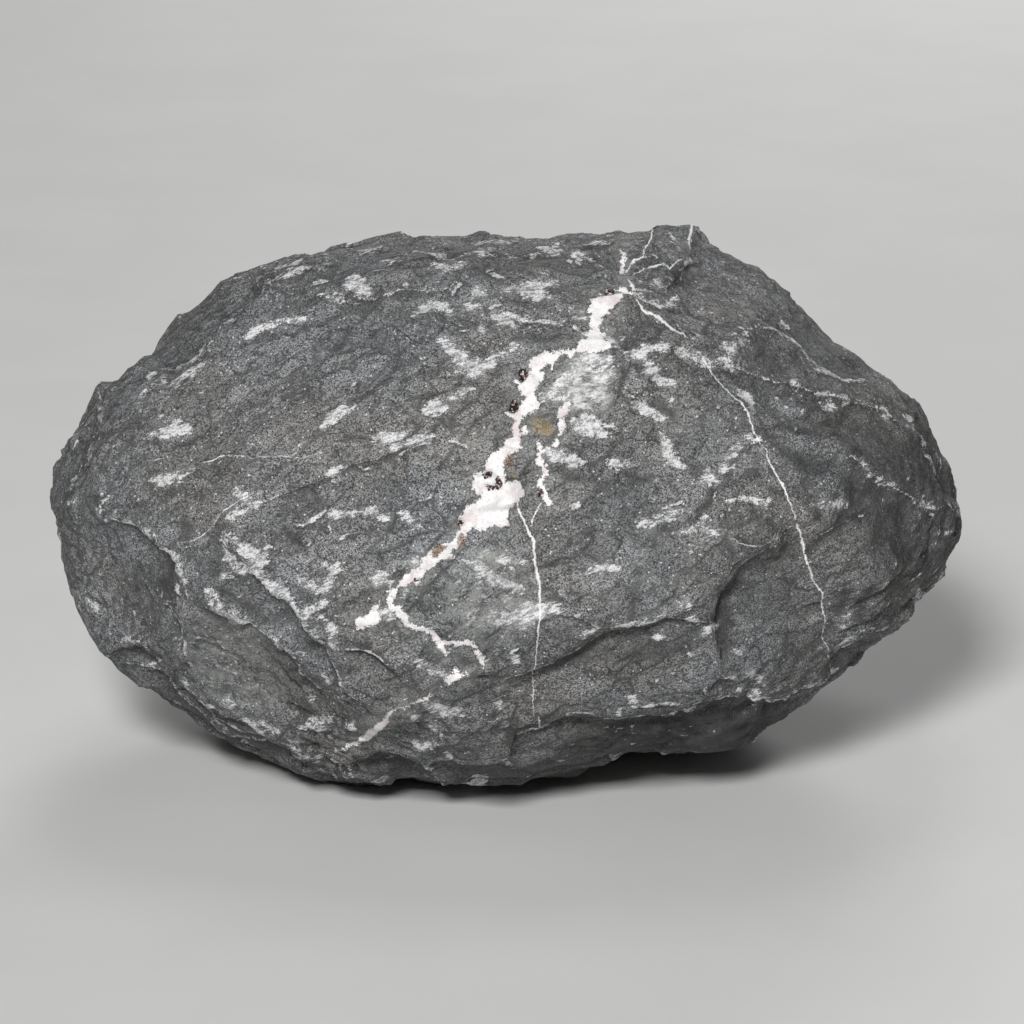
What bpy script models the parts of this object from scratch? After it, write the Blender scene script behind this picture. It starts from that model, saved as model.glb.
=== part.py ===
"""A loose nodule of dark basalt, as one closed faceted solid at its real size.

The stone is shaped in a face-on frame: u runs to the right, v up the face and w out of it.
It is then leaned back on its bed, cut flat where it rests, and set with the middle of its
footprint on the origin. Lengths in the lists below are in millimetres.
"""
import math
import random

import bpy
import numpy as np
from mathutils import Matrix, Vector, noise

MM = 0.001

# Driving dimensions, in millimetres and degrees
HALF_LENGTH = 125.0
HALF_HEIGHT = 76.8
FRONT_DEPTH = 84.0      # from the outline's plane to the front of the stone
BACK_DEPTH = 88.0       # from the outline's plane to its back
FULLNESS = 2.3          # 2 is an ellipsoid, more is boxier
LEAN = 18.0             # how far the face is leaned back from upright
REST_CUT = 5.0          # ground away under the stone, where it rests

# Surface
SPHERE_SUBDIVISIONS = 7
TRIANGLES = 9600
OUTLINE_SAMPLES = 1440
OUTLINE_STEPS = 8           # points along each straight stretch of the outline
OUTLINE_SMOOTHING = 7.0     # degrees, for the stone away from its outline
DETAIL_FADE = 8             # how fast the outline's detail fades towards front and back
BREAK_FADE = 12             # how fast the broad breaks fade out at the outline
FACET_ROUNDING = 1.6        # radius that softens the edge of a broad break
EDGE_WIDTH = 2.6            # breadth of the sharp step along a ledge
EDGE_BLEND = 4.0            # how softly one stretch of a ledge hands over to the next
EDGE_WANDER = 1.3           # how far a ledge strays from its line
WANDER_SIZE = 7.0           # and over what length it does so
EDGE_TAPER = 0.6            # below 1, a ledge keeps its depth until near its ends
EDGE_RETURN = 1.5           # above 1, the surface stays low for a while before it eases back
MOST_DROP = 0.6             # a drop takes at most this share of the depth left
LEAST_FACING = 0.5          # a steep place counts as facing front by at least this much
LEAST_SLOPE = 0.05         # a plane more edge-on than this cuts nothing
OUT_OF_REACH = 1e4
SHARP_ANGLE = 32.0
SEED = 11

COLOUR = (0.150, 0.151, 0.152, 1.0)
ROUGHNESS = 0.82

# The outline of the stone seen face on, clockwise from its left end
OUTLINE = [
    (-125, 4), (-124, -3.5), (-122, -9.5), (-120.5, -20), (-118, -28.5), (-112.5, -36.5),
    (-109, -41.5), (-106, -44.5), (-97.5, -50), (-90, -55.5), (-86.5, -57.5), (-79, -63.5),
    (-71, -67.5), (-59.5, -72.5), (-48, -76), (-38, -77), (-32, -76.5), (-30, -74.5),
    (-26, -75), (-21.5, -76.5), (-4, -76.5), (11.5, -73), (27.5, -70), (35, -67.5),
    (43.5, -66.5), (54, -68), (66, -65), (74.5, -60), (87, -50.5), (92, -47), (94, -44),
    (108, -33.5), (115, -23), (122, -13.5), (125, -8.5), (125, 0.5), (123, 10), (118.5, 19.5),
    (116.5, 22.5), (109.5, 30), (107, 33), (103.5, 33.5), (98.5, 39), (93.5, 43.5),
    (89.5, 45.5), (80, 54.5), (71, 65), (67, 67.5), (59.5, 70.5), (56.5, 73), (52, 76),
    (49, 75), (40.5, 76.5), (35.5, 74.5), (15.5, 74.5), (11.5, 73), (-4, 75), (-10.5, 73.5),
    (-18.5, 74.5), (-32.5, 73.5), (-45, 71), (-59, 68.5), (-70, 65), (-78, 60.5), (-81.5, 56.5),
    (-89, 53), (-93.5, 47), (-98.5, 40.5), (-109, 33.5), (-115.5, 24), (-121, 13.5),
]

# Broad flat breaks on the face: middle (u, v), tilt added to the surface there, depth of cut
FACE_BREAKS = {
    "big_smooth_face": ((-52, 32), (-0.10, 0.06), 3.0),
    "upper_left_bevel": ((-92, 46), (-0.10, 0.10), 2.0),
    "upper_right_plane": ((60, 60), (0.12, 0.05), 2.5),
    "shoulder_plane": ((98, 40), (0.05, 0.12), 2.0),
    "middle_plane": ((30, 8), (0.05, 0.00), 1.2),
    "left_end_plane": ((-108, -22), (-0.12, -0.06), 2.5),
    "right_end_plane": ((112, -8), (0.10, 0.00), 1.5),
    "lower_left_plane": ((-68, -50), (-0.10, -0.16), 2.2),
    "lower_band_plane": ((28, -45), (0.00, -0.16), 2.0),
    "lower_right_plane": ((80, -32), (0.10, -0.12), 2.5),
}

# Ledges on the face: the surface drops on the right-hand side of each line as it is followed,
# by depth, and eases back over run
FACE_LEDGES = {
    "left_scar": (5.5, 17, [(-104, -3), (-96, -6), (-89, -12), (-85, -20), (-87, -23),
                            (-86, -29), (-84, -39)]),
    "long_diagonal": (4.0, 18, [(-77, 0), (-72, -11), (-65, -19), (-56, -27), (-45, -39),
                                (-41, -51)]),
    "short_diagonal": (2.6, 22, [(-80, -24), (-69, -31), (-62, -34), (-56, -39), (-53, -44),
                                 (-46, -53)]),
    "lower_scoop": (4.0, 12, [(-3, -47), (11, -42), (20, -37), (26, -33), (35, -32), (41, -28),
                              (48, -30), (57, -31)]),
    "keel": (5.5, 12, [(-9, -71), (2, -63), (11, -57), (16, -55.5), (25, -56), (43, -55),
                       (52, -52), (64, -51), (71, -52), (79, -48), (87, -44), (88, -39),
                       (95, -35), (106, -31)]),
    "right_scar": (6.0, 22, [(58, -42), (54, -30), (54, -22), (63, -14), (69, -10), (81, -4)]),
    "shoulder_ridge": (5.0, 14, [(100, 33), (89, 34), (82, 38), (77, 45), (67, 50)]),
    "second_ridge": (3.2, 12, [(58, 38), (71, 33), (81, 30), (91, 28), (101, 26), (108, 20)]),
    "end_ridge": (3.2, 10, [(87, 16), (90, 14), (99, 7), (113, 0)]),
    "end_limb": (3.5, 10, [(122, -4), (117, 4), (113, 14), (110, 21)]),
    "left_limb": (4.0, 9, [(-97, 37), (-103, 32), (-108, 27), (-108, 18), (-112, 12), (-116, 8),
                           (-119, -1)]),
    "upper_left": (5.0, 16, [(-60, 61), (-64, 60), (-68, 55), (-71, 51), (-77, 45), (-84, 39),
                             (-97, 34)]),
    "upper_left_low": (2.5, 6, [(-76, 40), (-83, 36), (-88, 33), (-95, 31)]),
    "big_face_rim": (1.8, 34, [(-88, 29), (-68, 45), (-54, 50), (-41, 54), (-30, 48), (-25, 42),
                               (-30, 32), (-41, 26), (-56, 17)]),
    "middle_step": (2.2, 12, [(-67, -1), (-48, 7), (-41, 10), (-32, 13), (-24, 16), (-15, 19)]),
    "foot_left": (4.0, 9, [(-110, -42), (-102, -38), (-95, -39), (-90, -43), (-85, -49),
                           (-82, -53), (-75, -57), (-65, -63), (-59, -64), (-52, -69)]),
    "foot_left_low": (3.5, 7, [(-106, -42), (-97, -42), (-92, -45), (-87, -52), (-81, -59),
                               (-69, -65), (-58, -66), (-49, -70), (-37, -75)]),
    "notch": (5.0, 6, [(-45, -73), (-33, -67), (-26, -68), (-21, -71), (-15, -75)]),
    "block_side": (3.0, 14, [(44, 48), (43, 58), (49, 65), (51, 71), (52, 75)]),
    "block_foot": (2.0, 9, [(32, 69), (38, 66), (46, 65), (51, 67)]),
    "low_shelf": (1.8, 5, [(49, -49), (57, -46), (63, -46), (70, -43)]),
    "crack_lens": (1.8, 6, [(-43, -36), (-35, -38), (-31, -41), (-21, -44)]),
    "crack_below": (1.6, 8, [(-45, -46), (-41, -48), (-34, -52), (-27, -55)]),
    "centre_break": (1.4, 16, [(58, 36), (62, 26), (66, 16), (74, 4), (78, -3)]),
    "brow": (1.5, 14, [(66, 17), (55, 8), (46, 2), (36, -1), (28, -2)]),
    "crown_step": (1.8, 10, [(-28, 64), (-20, 57), (-12, 48), (-4, 44), (6, 47), (17, 50)]),
    "top_terrace": (2.4, 9, [(-58, 54), (-46, 56), (-35, 54), (-27, 56), (-17, 56), (-8, 61)]),
    "rim_terrace": (2.6, 9, [(27, 65), (18, 68), (4, 66), (-6, 68), (-14, 65), (-24, 67),
                             (-41, 65), (-57, 61)]),
}

# Shell-shaped hollows (negative) and rounded swells (positive) on the face:
# middle, half-lengths, turn in degrees, height
FACE_SWELLS = {
    "left_scar_hollow": ((-102, -24), (22, 14), -70, -2.0),
    "diagonal_hollow": ((-68, -44), (24, 13), -35, -1.2),
    "right_scar_hollow": ((73, -28), (24, 19), 15, -3.0),
    "shoulder_hollow": ((73, 41), (13, 7), -30, -2.5),
    "end_swell": ((84, 18), (21, 15), -15, 2.6),
    "end_pit": ((82, 12), (9, 3.5), -10, -1.6),
    "corner_swell": ((104, -20), (14, 10), 40, 1.8),
    "lower_shelf_swell": ((14, -30), (17, 5), 5, 1.6),
    "left_swell": ((-100, 8), (16, 20), 0, 1.6),
    "middle_swell": ((-10, 0), (42, 34), 0, 1.5),
    "dark_notch": ((-96, -41), (9, 3), 0, -1.8),
    "crest_hollow": ((-12, 38), (24, 8), 10, -1.6),
    "under_vein_hollow": ((8, -16), (22, 11), 0, -1.4),
    "foot_hollow": ((-28, -62), (15, 8), 25, -1.8),
}

# The hidden back and underside break at random in the same manner
BACK_BREAKS = 11
BACK_BREAK_DEPTH = (2.0, 5.0)
BACK_BREAK_TILT = 0.14
BACK_LEDGES = 9
BACK_LEDGE_DEPTH = (2.0, 4.5)
BACK_LEDGE_RUN = (10.0, 22.0)
BACK_LEDGE_POINTS = 6
BACK_LEDGE_STRIDE = 13.0
BACK_LEDGE_TURN = 0.45      # radians
BACK_LEDGE_REACH = 0.6      # lines start within this share of the half-length and half-height

# Weathering all over: feature size and height, and the share of it that the outline takes
WEATHERING = ((30.0, 1.3), (11.0, 0.55), (5.0, 0.25))
OUTLINE_WEATHERING = 0.3


def clear_scene():
    """Remove every object, mesh and material that the file starts with."""
    for item in list(bpy.data.objects):
        bpy.data.objects.remove(item, do_unlink=True)
    for store in (bpy.data.meshes, bpy.data.materials):
        for item in list(store):
            store.remove(item)


def outline_radius(angles, smoothing=0.0):
    """Distance from the middle to the outline at each angle, smoothed over some degrees."""
    corners = np.array(OUTLINE, dtype=float)
    following = np.roll(corners, -1, axis=0)
    steps = np.linspace(0.0, 1.0, OUTLINE_STEPS, endpoint=False)[:, None, None]
    points = (corners + (following - corners) * steps).reshape(-1, 2)
    bearing = np.arctan2(points[:, 1], points[:, 0])
    order = np.argsort(bearing)
    grid = np.linspace(-np.pi, np.pi, OUTLINE_SAMPLES, endpoint=False)
    radius = np.interp(grid, bearing[order], np.hypot(*points[order].T), period=2 * np.pi)
    if smoothing:
        weight = np.exp(-0.5 * (grid / math.radians(smoothing)) ** 2)
        weight = np.fft.ifftshift(weight / weight.sum())
        radius = np.fft.ifft(np.fft.fft(radius) * np.fft.fft(weight)).real
    return np.interp(angles, grid, radius, period=2 * np.pi)


def loft_radius(directions):
    """Distance along each direction to a full rounded stone that keeps the outline."""
    in_plane = np.hypot(directions[:, 0], directions[:, 1])
    angles = np.arctan2(directions[:, 1], directions[:, 0])
    rounded = outline_radius(angles, OUTLINE_SMOOTHING)
    detail = (outline_radius(angles) - rounded) * in_plane ** DETAIL_FADE
    depth = np.where(directions[:, 2] > 0, FRONT_DEPTH, BACK_DEPTH)
    across = in_plane / (rounded + detail)
    through = np.abs(directions[:, 2]) / depth
    return (across ** FULLNESS + through ** FULLNESS) ** (-1.0 / FULLNESS)


def soft_minimum(first, second, blend):
    """The smaller of two lengths, rounded where they cross."""
    share = np.clip(0.5 + 0.5 * (second - first) / blend, 0.0, 1.0)
    return second * (1 - share) + first * share - blend * share * (1 - share)


def ellipsoid_normal(point):
    """Outward direction at a point on or near the rounded stone."""
    depth = FRONT_DEPTH if point[2] > 0 else BACK_DEPTH
    gradient = np.array(point) / np.array([HALF_LENGTH, HALF_HEIGHT, depth]) ** 2
    return gradient / np.linalg.norm(gradient)


def break_off(radius, directions, middle, tilt, cut):
    """Cut the stone with the plane that lies a little below the surface at middle."""
    normal = ellipsoid_normal(middle) + np.array([tilt[0], tilt[1], 0.0])
    normal /= np.linalg.norm(normal)
    offset = float(normal @ np.array(middle)) - cut
    slope = directions @ normal
    reach = offset / np.maximum(slope, LEAST_SLOPE)
    plane_radius = np.where(slope > LEAST_SLOPE, reach, OUT_OF_REACH)
    return soft_minimum(radius, plane_radius, FACET_ROUNDING)


def face_point(u, v):
    """The point of the rounded stone's front at (u, v)."""
    inside = max(1.0 - (u / HALF_LENGTH) ** 2 - (v / HALF_HEIGHT) ** 2, 0.01)
    return (u, v, FRONT_DEPTH * inside ** (1.0 / FULLNESS))


def broken_radius(directions, rng):
    """The rounded stone with its broad flat breaks, which leave its outline alone."""
    rounded = loft_radius(directions)
    radius = rounded
    for middle, tilt, cut in FACE_BREAKS.values():
        radius = break_off(radius, directions, face_point(*middle), tilt, cut)
    for _ in range(BACK_BREAKS):
        toward = np.array([rng.gauss(0, 1), rng.gauss(0, 1), -abs(rng.gauss(0, 1)) - 0.3])
        toward /= np.linalg.norm(toward)
        middle = toward * loft_radius(toward[None, :])[0]
        tilt = [rng.uniform(-BACK_BREAK_TILT, BACK_BREAK_TILT) for _ in range(2)]
        radius = break_off(radius, directions, middle, tilt, rng.uniform(*BACK_BREAK_DEPTH))
    guard = (1.0 - directions[:, 2] ** 2) ** BREAK_FADE
    return radius + (rounded - radius) * guard


def ledge_drop(places, depth, run, line):
    """How far a ledge drops at each place: sharply off its line, easing back over run."""
    corners = np.array(line, dtype=float)
    nearest = np.full(len(places), np.inf)
    right_hand = np.zeros(len(places), dtype=bool)
    gaps, travels = [], []
    passed = 0.0
    for start, end in zip(corners[:-1], corners[1:]):
        length = np.linalg.norm(end - start)
        heading = (end - start) / length
        offset = places - start
        travel = np.clip(offset @ heading, 0.0, length)
        gap = np.linalg.norm(offset - travel[:, None] * heading, axis=1)
        on_right = heading[0] * offset[:, 1] < heading[1] * offset[:, 0]
        right_hand = np.where(gap < nearest, on_right, right_hand)
        nearest = np.minimum(gap, nearest)
        gaps.append(gap)
        travels.append(passed + travel)
        passed += length
    weights = np.exp((nearest - np.array(gaps)) / EDGE_BLEND)
    along = (weights * np.array(travels)).sum(axis=0) / weights.sum(axis=0)
    taper = np.clip(np.sin(np.pi * along / passed), 0.0, 1.0) ** EDGE_TAPER
    step = np.clip(nearest / EDGE_WIDTH, 0.0, 1.0)
    step = step * step * (3 - 2 * step)
    easing = np.exp(-(nearest / run) ** EDGE_RETURN)
    return np.where(right_hand, depth * taper * step * easing, 0.0)


def swell_height(places, middle, half_lengths, turn, height):
    """Height of a rounded swell, or depth of a shell-shaped hollow, at each place."""
    angle = math.radians(turn)
    offset = places - np.array(middle, dtype=float)
    across = offset @ np.array([math.cos(angle), math.sin(angle)]) / half_lengths[0]
    up = offset @ np.array([-math.sin(angle), math.cos(angle)]) / half_lengths[1]
    inside = np.clip(1.0 - across ** 2 - up ** 2, 0.0, 1.0)
    return height * inside ** (2.0 if height > 0 else 1.2)


def wandering_line(rng):
    """A random broken line for a ledge on the back."""
    heading = rng.uniform(0, 2 * math.pi)
    reach = BACK_LEDGE_REACH
    point = np.array([rng.uniform(-reach, reach) * HALF_LENGTH,
                      rng.uniform(-reach, reach) * HALF_HEIGHT])
    line = []
    for _ in range(BACK_LEDGE_POINTS):
        line.append(tuple(point))
        heading += rng.gauss(0, BACK_LEDGE_TURN)
        point = point + BACK_LEDGE_STRIDE * np.array([math.cos(heading), math.sin(heading)])
    return line


def noise_at(points, size, seed):
    """Smooth noise of about -1 to 1 at each point, with the given feature size."""
    shift = Vector((seed * 17.3, seed * 5.1, seed * 9.7))
    return np.array([noise.noise(Vector(point) / size + shift) for point in points])


def add_relief(points, rng):
    """Push the ledges, hollows and swells in along w, which keeps the outline."""
    facing = points / np.array([HALF_LENGTH, HALF_HEIGHT, FRONT_DEPTH]) ** 2
    facing = np.abs(facing[:, 2]) / np.linalg.norm(facing, axis=1)
    places = points[:, :2] + EDGE_WANDER * np.column_stack(
        [noise_at(points, WANDER_SIZE, seed) for seed in (1, 2)])
    front_drop = np.zeros(len(points))
    for depth, run, line in FACE_LEDGES.values():
        front_drop += ledge_drop(places, depth, run, line)
    for middle, half_lengths, turn, height in FACE_SWELLS.values():
        front_drop -= swell_height(places, middle, half_lengths, turn, height)
    back_drop = np.zeros(len(points))
    for _ in range(BACK_LEDGES):
        depth = rng.uniform(*BACK_LEDGE_DEPTH)
        back_drop += ledge_drop(places, depth, rng.uniform(*BACK_LEDGE_RUN), wandering_line(rng))
    drop = np.where(points[:, 2] > 0, front_drop, back_drop) / np.maximum(facing, LEAST_FACING)
    room = MOST_DROP * np.abs(points[:, 2])
    points[:, 2] -= np.sign(points[:, 2]) * np.clip(drop, -room, room)


def weather(points, directions):
    """Roughen the whole surface a little, least along the outline."""
    away = np.sqrt(np.abs(directions[:, 2]))
    strength = OUTLINE_WEATHERING + (1.0 - OUTLINE_WEATHERING) * away
    for number, (size, height) in enumerate(WEATHERING):
        bump = height * noise_at(points, size, 10 + number)
        points += directions * (bump * strength)[:, None]


def shape_stone(mesh):
    """Move the vertices of a unit sphere to the surface of the stone, face-on and in mm."""
    rng = random.Random(SEED)
    flat = np.empty(len(mesh.vertices) * 3)
    mesh.vertices.foreach_get("co", flat)
    directions = flat.reshape(-1, 3)
    directions = directions / np.linalg.norm(directions, axis=1)[:, None]
    points = directions * broken_radius(directions, rng)[:, None]
    add_relief(points, rng)
    weather(points, directions)
    mesh.vertices.foreach_set("co", points.ravel())
    mesh.update()


def lean_matrix():
    """From the face-on frame in millimetres to the standing frame in metres."""
    lean = math.radians(LEAN)
    u_axis = Vector((1, 0, 0))
    v_axis = Vector((0, math.sin(lean), math.cos(lean)))
    w_axis = Vector((0, -math.cos(lean), math.sin(lean)))
    return Matrix.Scale(MM, 4) @ Matrix((u_axis, v_axis, w_axis)).transposed().to_4x4()


def thin_out(rock):
    """Reduce the fine surface to the triangles that carry its form, and bake them in."""
    thinning = rock.modifiers.new("thinning", "DECIMATE")
    thinning.ratio = TRIANGLES / len(rock.data.polygons)
    evaluated = rock.evaluated_get(bpy.context.evaluated_depsgraph_get())
    thinned = bpy.data.meshes.new_from_object(evaluated)
    rock.modifiers.clear()
    rock.data = thinned


def set_on_origin(mesh):
    """Centre the footprint on the origin and bring the level of the rest cut to z = 0."""
    corners = np.array([vertex.co for vertex in mesh.vertices])
    low, high = corners.min(axis=0), corners.max(axis=0)
    middle = (low + high) / 2
    mesh.transform(Matrix.Translation((-middle[0], -middle[1], -low[2] - REST_CUT * MM)))


def cut_rest(rock, cutters):
    """Take off what lies below z = 0, so that the stone has a flat spot to rest on."""
    size = 3 * HALF_LENGTH * MM
    bpy.ops.mesh.primitive_cube_add(size=size, location=(0, 0, -size / 2))
    ground = bpy.context.object
    ground.name = "ground_cutter"
    ground.hide_render = True
    ground.display_type = "WIRE"
    move_to(ground, cutters)
    cut = rock.modifiers.new("rest_cut", "BOOLEAN")
    cut.operation = "DIFFERENCE"
    cut.object = ground


def stone_material():
    """Dark grey basalt."""
    material = bpy.data.materials.new("stone")
    material.use_nodes = True
    surface = material.node_tree.nodes["Principled BSDF"]
    surface.inputs["Base Color"].default_value = COLOUR
    surface.inputs["Roughness"].default_value = ROUGHNESS
    return material


def move_to(item, collection):
    """Keep an object in one collection only."""
    for holder in list(item.users_collection):
        holder.objects.unlink(item)
    collection.objects.link(item)


def new_collection(name):
    """Make a collection under the scene."""
    collection = bpy.data.collections.new(name)
    bpy.context.scene.collection.children.link(collection)
    return collection


def build_rock():
    """The whole stone, as one object."""
    stones = new_collection("basalt_nodule")
    cutters = new_collection("cutters")
    bpy.ops.mesh.primitive_ico_sphere_add(subdivisions=SPHERE_SUBDIVISIONS, radius=1.0)
    rock = bpy.context.object
    rock.name = "rock"
    move_to(rock, stones)
    shape_stone(rock.data)
    rock.data.transform(lean_matrix())
    thin_out(rock)
    set_on_origin(rock.data)
    rock.data.materials.append(stone_material())
    rock.data.shade_smooth()
    rock.data.set_sharp_from_angle(angle=math.radians(SHARP_ANGLE))
    cut_rest(rock, cutters)


clear_scene()
build_rock()
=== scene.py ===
"""The looks of a closed nodule of dark basalt, crossed by a ragged white mineral vein.

The CAD stone is dressed with one fine skin, whose every mark is worked out from where its
point lies in the picture: places on the stone are given in pixels of the 1024 x 1024
photograph, x to the right and y down, and the camera below turns a point into such a place.
The far side is given in the same frame, as if seen through the stone.
"""

import math
import random

import bmesh
import bpy
import numpy as np
from mathutils import Matrix, Vector, noise
from mathutils.bvhtree import BVHTree


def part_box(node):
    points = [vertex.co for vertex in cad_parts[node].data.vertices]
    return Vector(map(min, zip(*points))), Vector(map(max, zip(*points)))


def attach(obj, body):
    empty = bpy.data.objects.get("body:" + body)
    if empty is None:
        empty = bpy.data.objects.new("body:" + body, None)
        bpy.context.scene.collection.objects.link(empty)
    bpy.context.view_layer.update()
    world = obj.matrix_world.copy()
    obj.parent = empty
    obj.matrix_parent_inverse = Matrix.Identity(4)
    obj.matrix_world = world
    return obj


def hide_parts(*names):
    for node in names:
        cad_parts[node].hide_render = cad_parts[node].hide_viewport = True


MM = 0.001

# Camera: at the photograph's angle, looking down on a stone that leans back by the same angle
PICTURE = 1024                      # pixels along each side
LENS = 180.0                        # mm
SENSOR = 36.0                       # mm
FOCAL = LENS / SENSOR * PICTURE     # pixels
LOOK_DOWN = math.radians(18.0)
AIM = Vector((0.0022, -0.0014, 0.0713))
DISTANCE = 1.410                    # metres
RIGHT = Vector((1.0, 0.0, 0.0))
UP = Vector((0.0, math.sin(LOOK_DOWN), math.cos(LOOK_DOWN)))
TOWARD = Vector((0.0, -math.cos(LOOK_DOWN), math.sin(LOOK_DOWN)))
EYE = AIM + TOWARD * DISTANCE

# Skin: an even grid of quads on a sphere, shrunk onto the CAD stone
GRID = 112                          # quads along one side of each of six patches
FRONT_BIAS = 0.75                   # below 1 packs the quads towards the viewer
RELAX_PASSES = 5                    # rounds off the CAD facets
OUTSIDE = 0.5                       # rays start this far from the middle, in metres
CLOSE_TO_VEIN = 7.0                 # quads this near a vein are split once more, in pixels
FLAT_SPOT = 0.4 * MM                # what lies lower than this rests on the ground
FLAT_FADE = 5.0 * MM                # relief dies out over this height above the ground
MARGIN = 0.05 * MM                  # the skin stays this far inside the CAD box

# Relief all over: feature size and height in mm, and how much it is broken into sharp chips
ROUGHNESS_LAYERS = (
    (17.0, 1.00, 0.9),
    (8.0, 0.36, 0.85),
    (2.6, 0.07, 0.3),
)
# Terraces: size and height in mm of slow rises that end in sharp steps, and how many of them
# there are from the bottom to the top of a swell
TERRACE_LAYERS = (
    (30.0, 1.8, 1.3),
    (13.0, 0.8, 1.0),
)
TERRACE_EDGE = (0.42, 0.58)         # the share of a rise over which it steps
TERRACE_OCTAVES = ((1.0, 1.0), (2.3, 0.40), (5.1, 0.20))  # fineness and share of its noises
CHIP_EDGE = 6.0                     # how sharply a chip ends
CHIP_HEIGHT = 2.0                   # next to the smooth noise
LAYER_SHIFT = Vector((13.1, 7.7, 3.9))  # keeps the layers of roughness apart
GRAIN_TURN = math.radians(20.0)     # the stone breaks along a grain that rises to the right
GRAIN_STRETCH = 2.0
SMOOTHED = 0.80                     # how much of that relief the smooth places lose
BED_THICKNESS = 4.2                 # mm, of the bedding seen along the rim
BED_STEP = 0.8                      # mm, from one bed down to the next
BED_PATCHES = 34.0                  # mm, size of the places where the bedding shows
BED_PATCH_EDGE = (-0.35, 0.15)      # values of their noise between which it comes in
BED_STRAY = 2.4                     # beds, how far they wander
BED_STRAY_LAYERS = ((14.0, 1.0), (4.0, 0.3))  # size in mm and share of their wandering
BLOCKINESS = 0.7                    # how much bolder the largest roughness is off the face
# Bounds in how squarely the stone faces the viewer: 1 is head on, 0 the limb and -1 behind
RIM_BEGINS = (0.80, 0.50)           # the bedding comes in
RIM_ENDS = (-0.30, 0.15)            # and goes out again, round the back
OFF_FACE = (0.55, 0.20)             # the largest roughness grows bolder
GLANCING = (0.60, 0.30)             # scuffs are broken up
VEIN_PROUD = 0.12                   # mm, the hard vein stands a little above the stone
VEIN_GRAIN = (1.3, 0.16)            # mm, size and height of its sugary surface
VEIN_SHOULDER = (-1.0, 2.5)         # pixels inside its edge over which it rises
PIT_DEPTH = 1.4                     # mm, the middle of a vug
STEP_WIDTH = 4.0                    # pixels over which a ledge's edge drops
STEP_RUN = 12.0                     # pixels over which the surface comes back up
BREAK_SIZE = 6.0                    # mm, of the gaps in scuffs seen at a glancing angle
BREAK_DEPTH = 24.0                  # pixels, how far those gaps cut into a scuff
BREAK_SHARE = 0.15                  # added to their noise, so that more than half is cut

# Lines are drawn as a distance to their middle, and each needs clear ground around it
LINE_CHANNELS = 6
LINE_CLEARANCE = 15.0               # pixels between two lines of one channel
LINE_SAMPLES = 4.0                  # pixels between the points where that is tested
LINE_REACH = 6.0                    # pixels on each side where a line can show
LINE_ABSENT = -9.0                  # half-width that means no line
MINERAL, BRUISED, CRACK = 1.0, 0.5, 0.0  # the tones of lines

# Soft patches and scuffs
PATCH_FIELDS = ("smooth", "dark", "haze", "vug", "rust", "ochre")
SHAPE_FIELDS = ("height", "smooth")  # these shape the skin, and the material doesn't read them
PATCH_EDGE = (1.45, 0.45)           # where a patch begins and is full, in half-lengths
PATCH_WARP = (3.5, 5.0)             # size in mm and amount in pixels of their irregularity
SCUFF_WARP = (2.2, 2.0)             # likewise of the scuffs
THIN = 4.5                          # scuffs no wider than this in pixels are drawn as lines

SEED = 23

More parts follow.
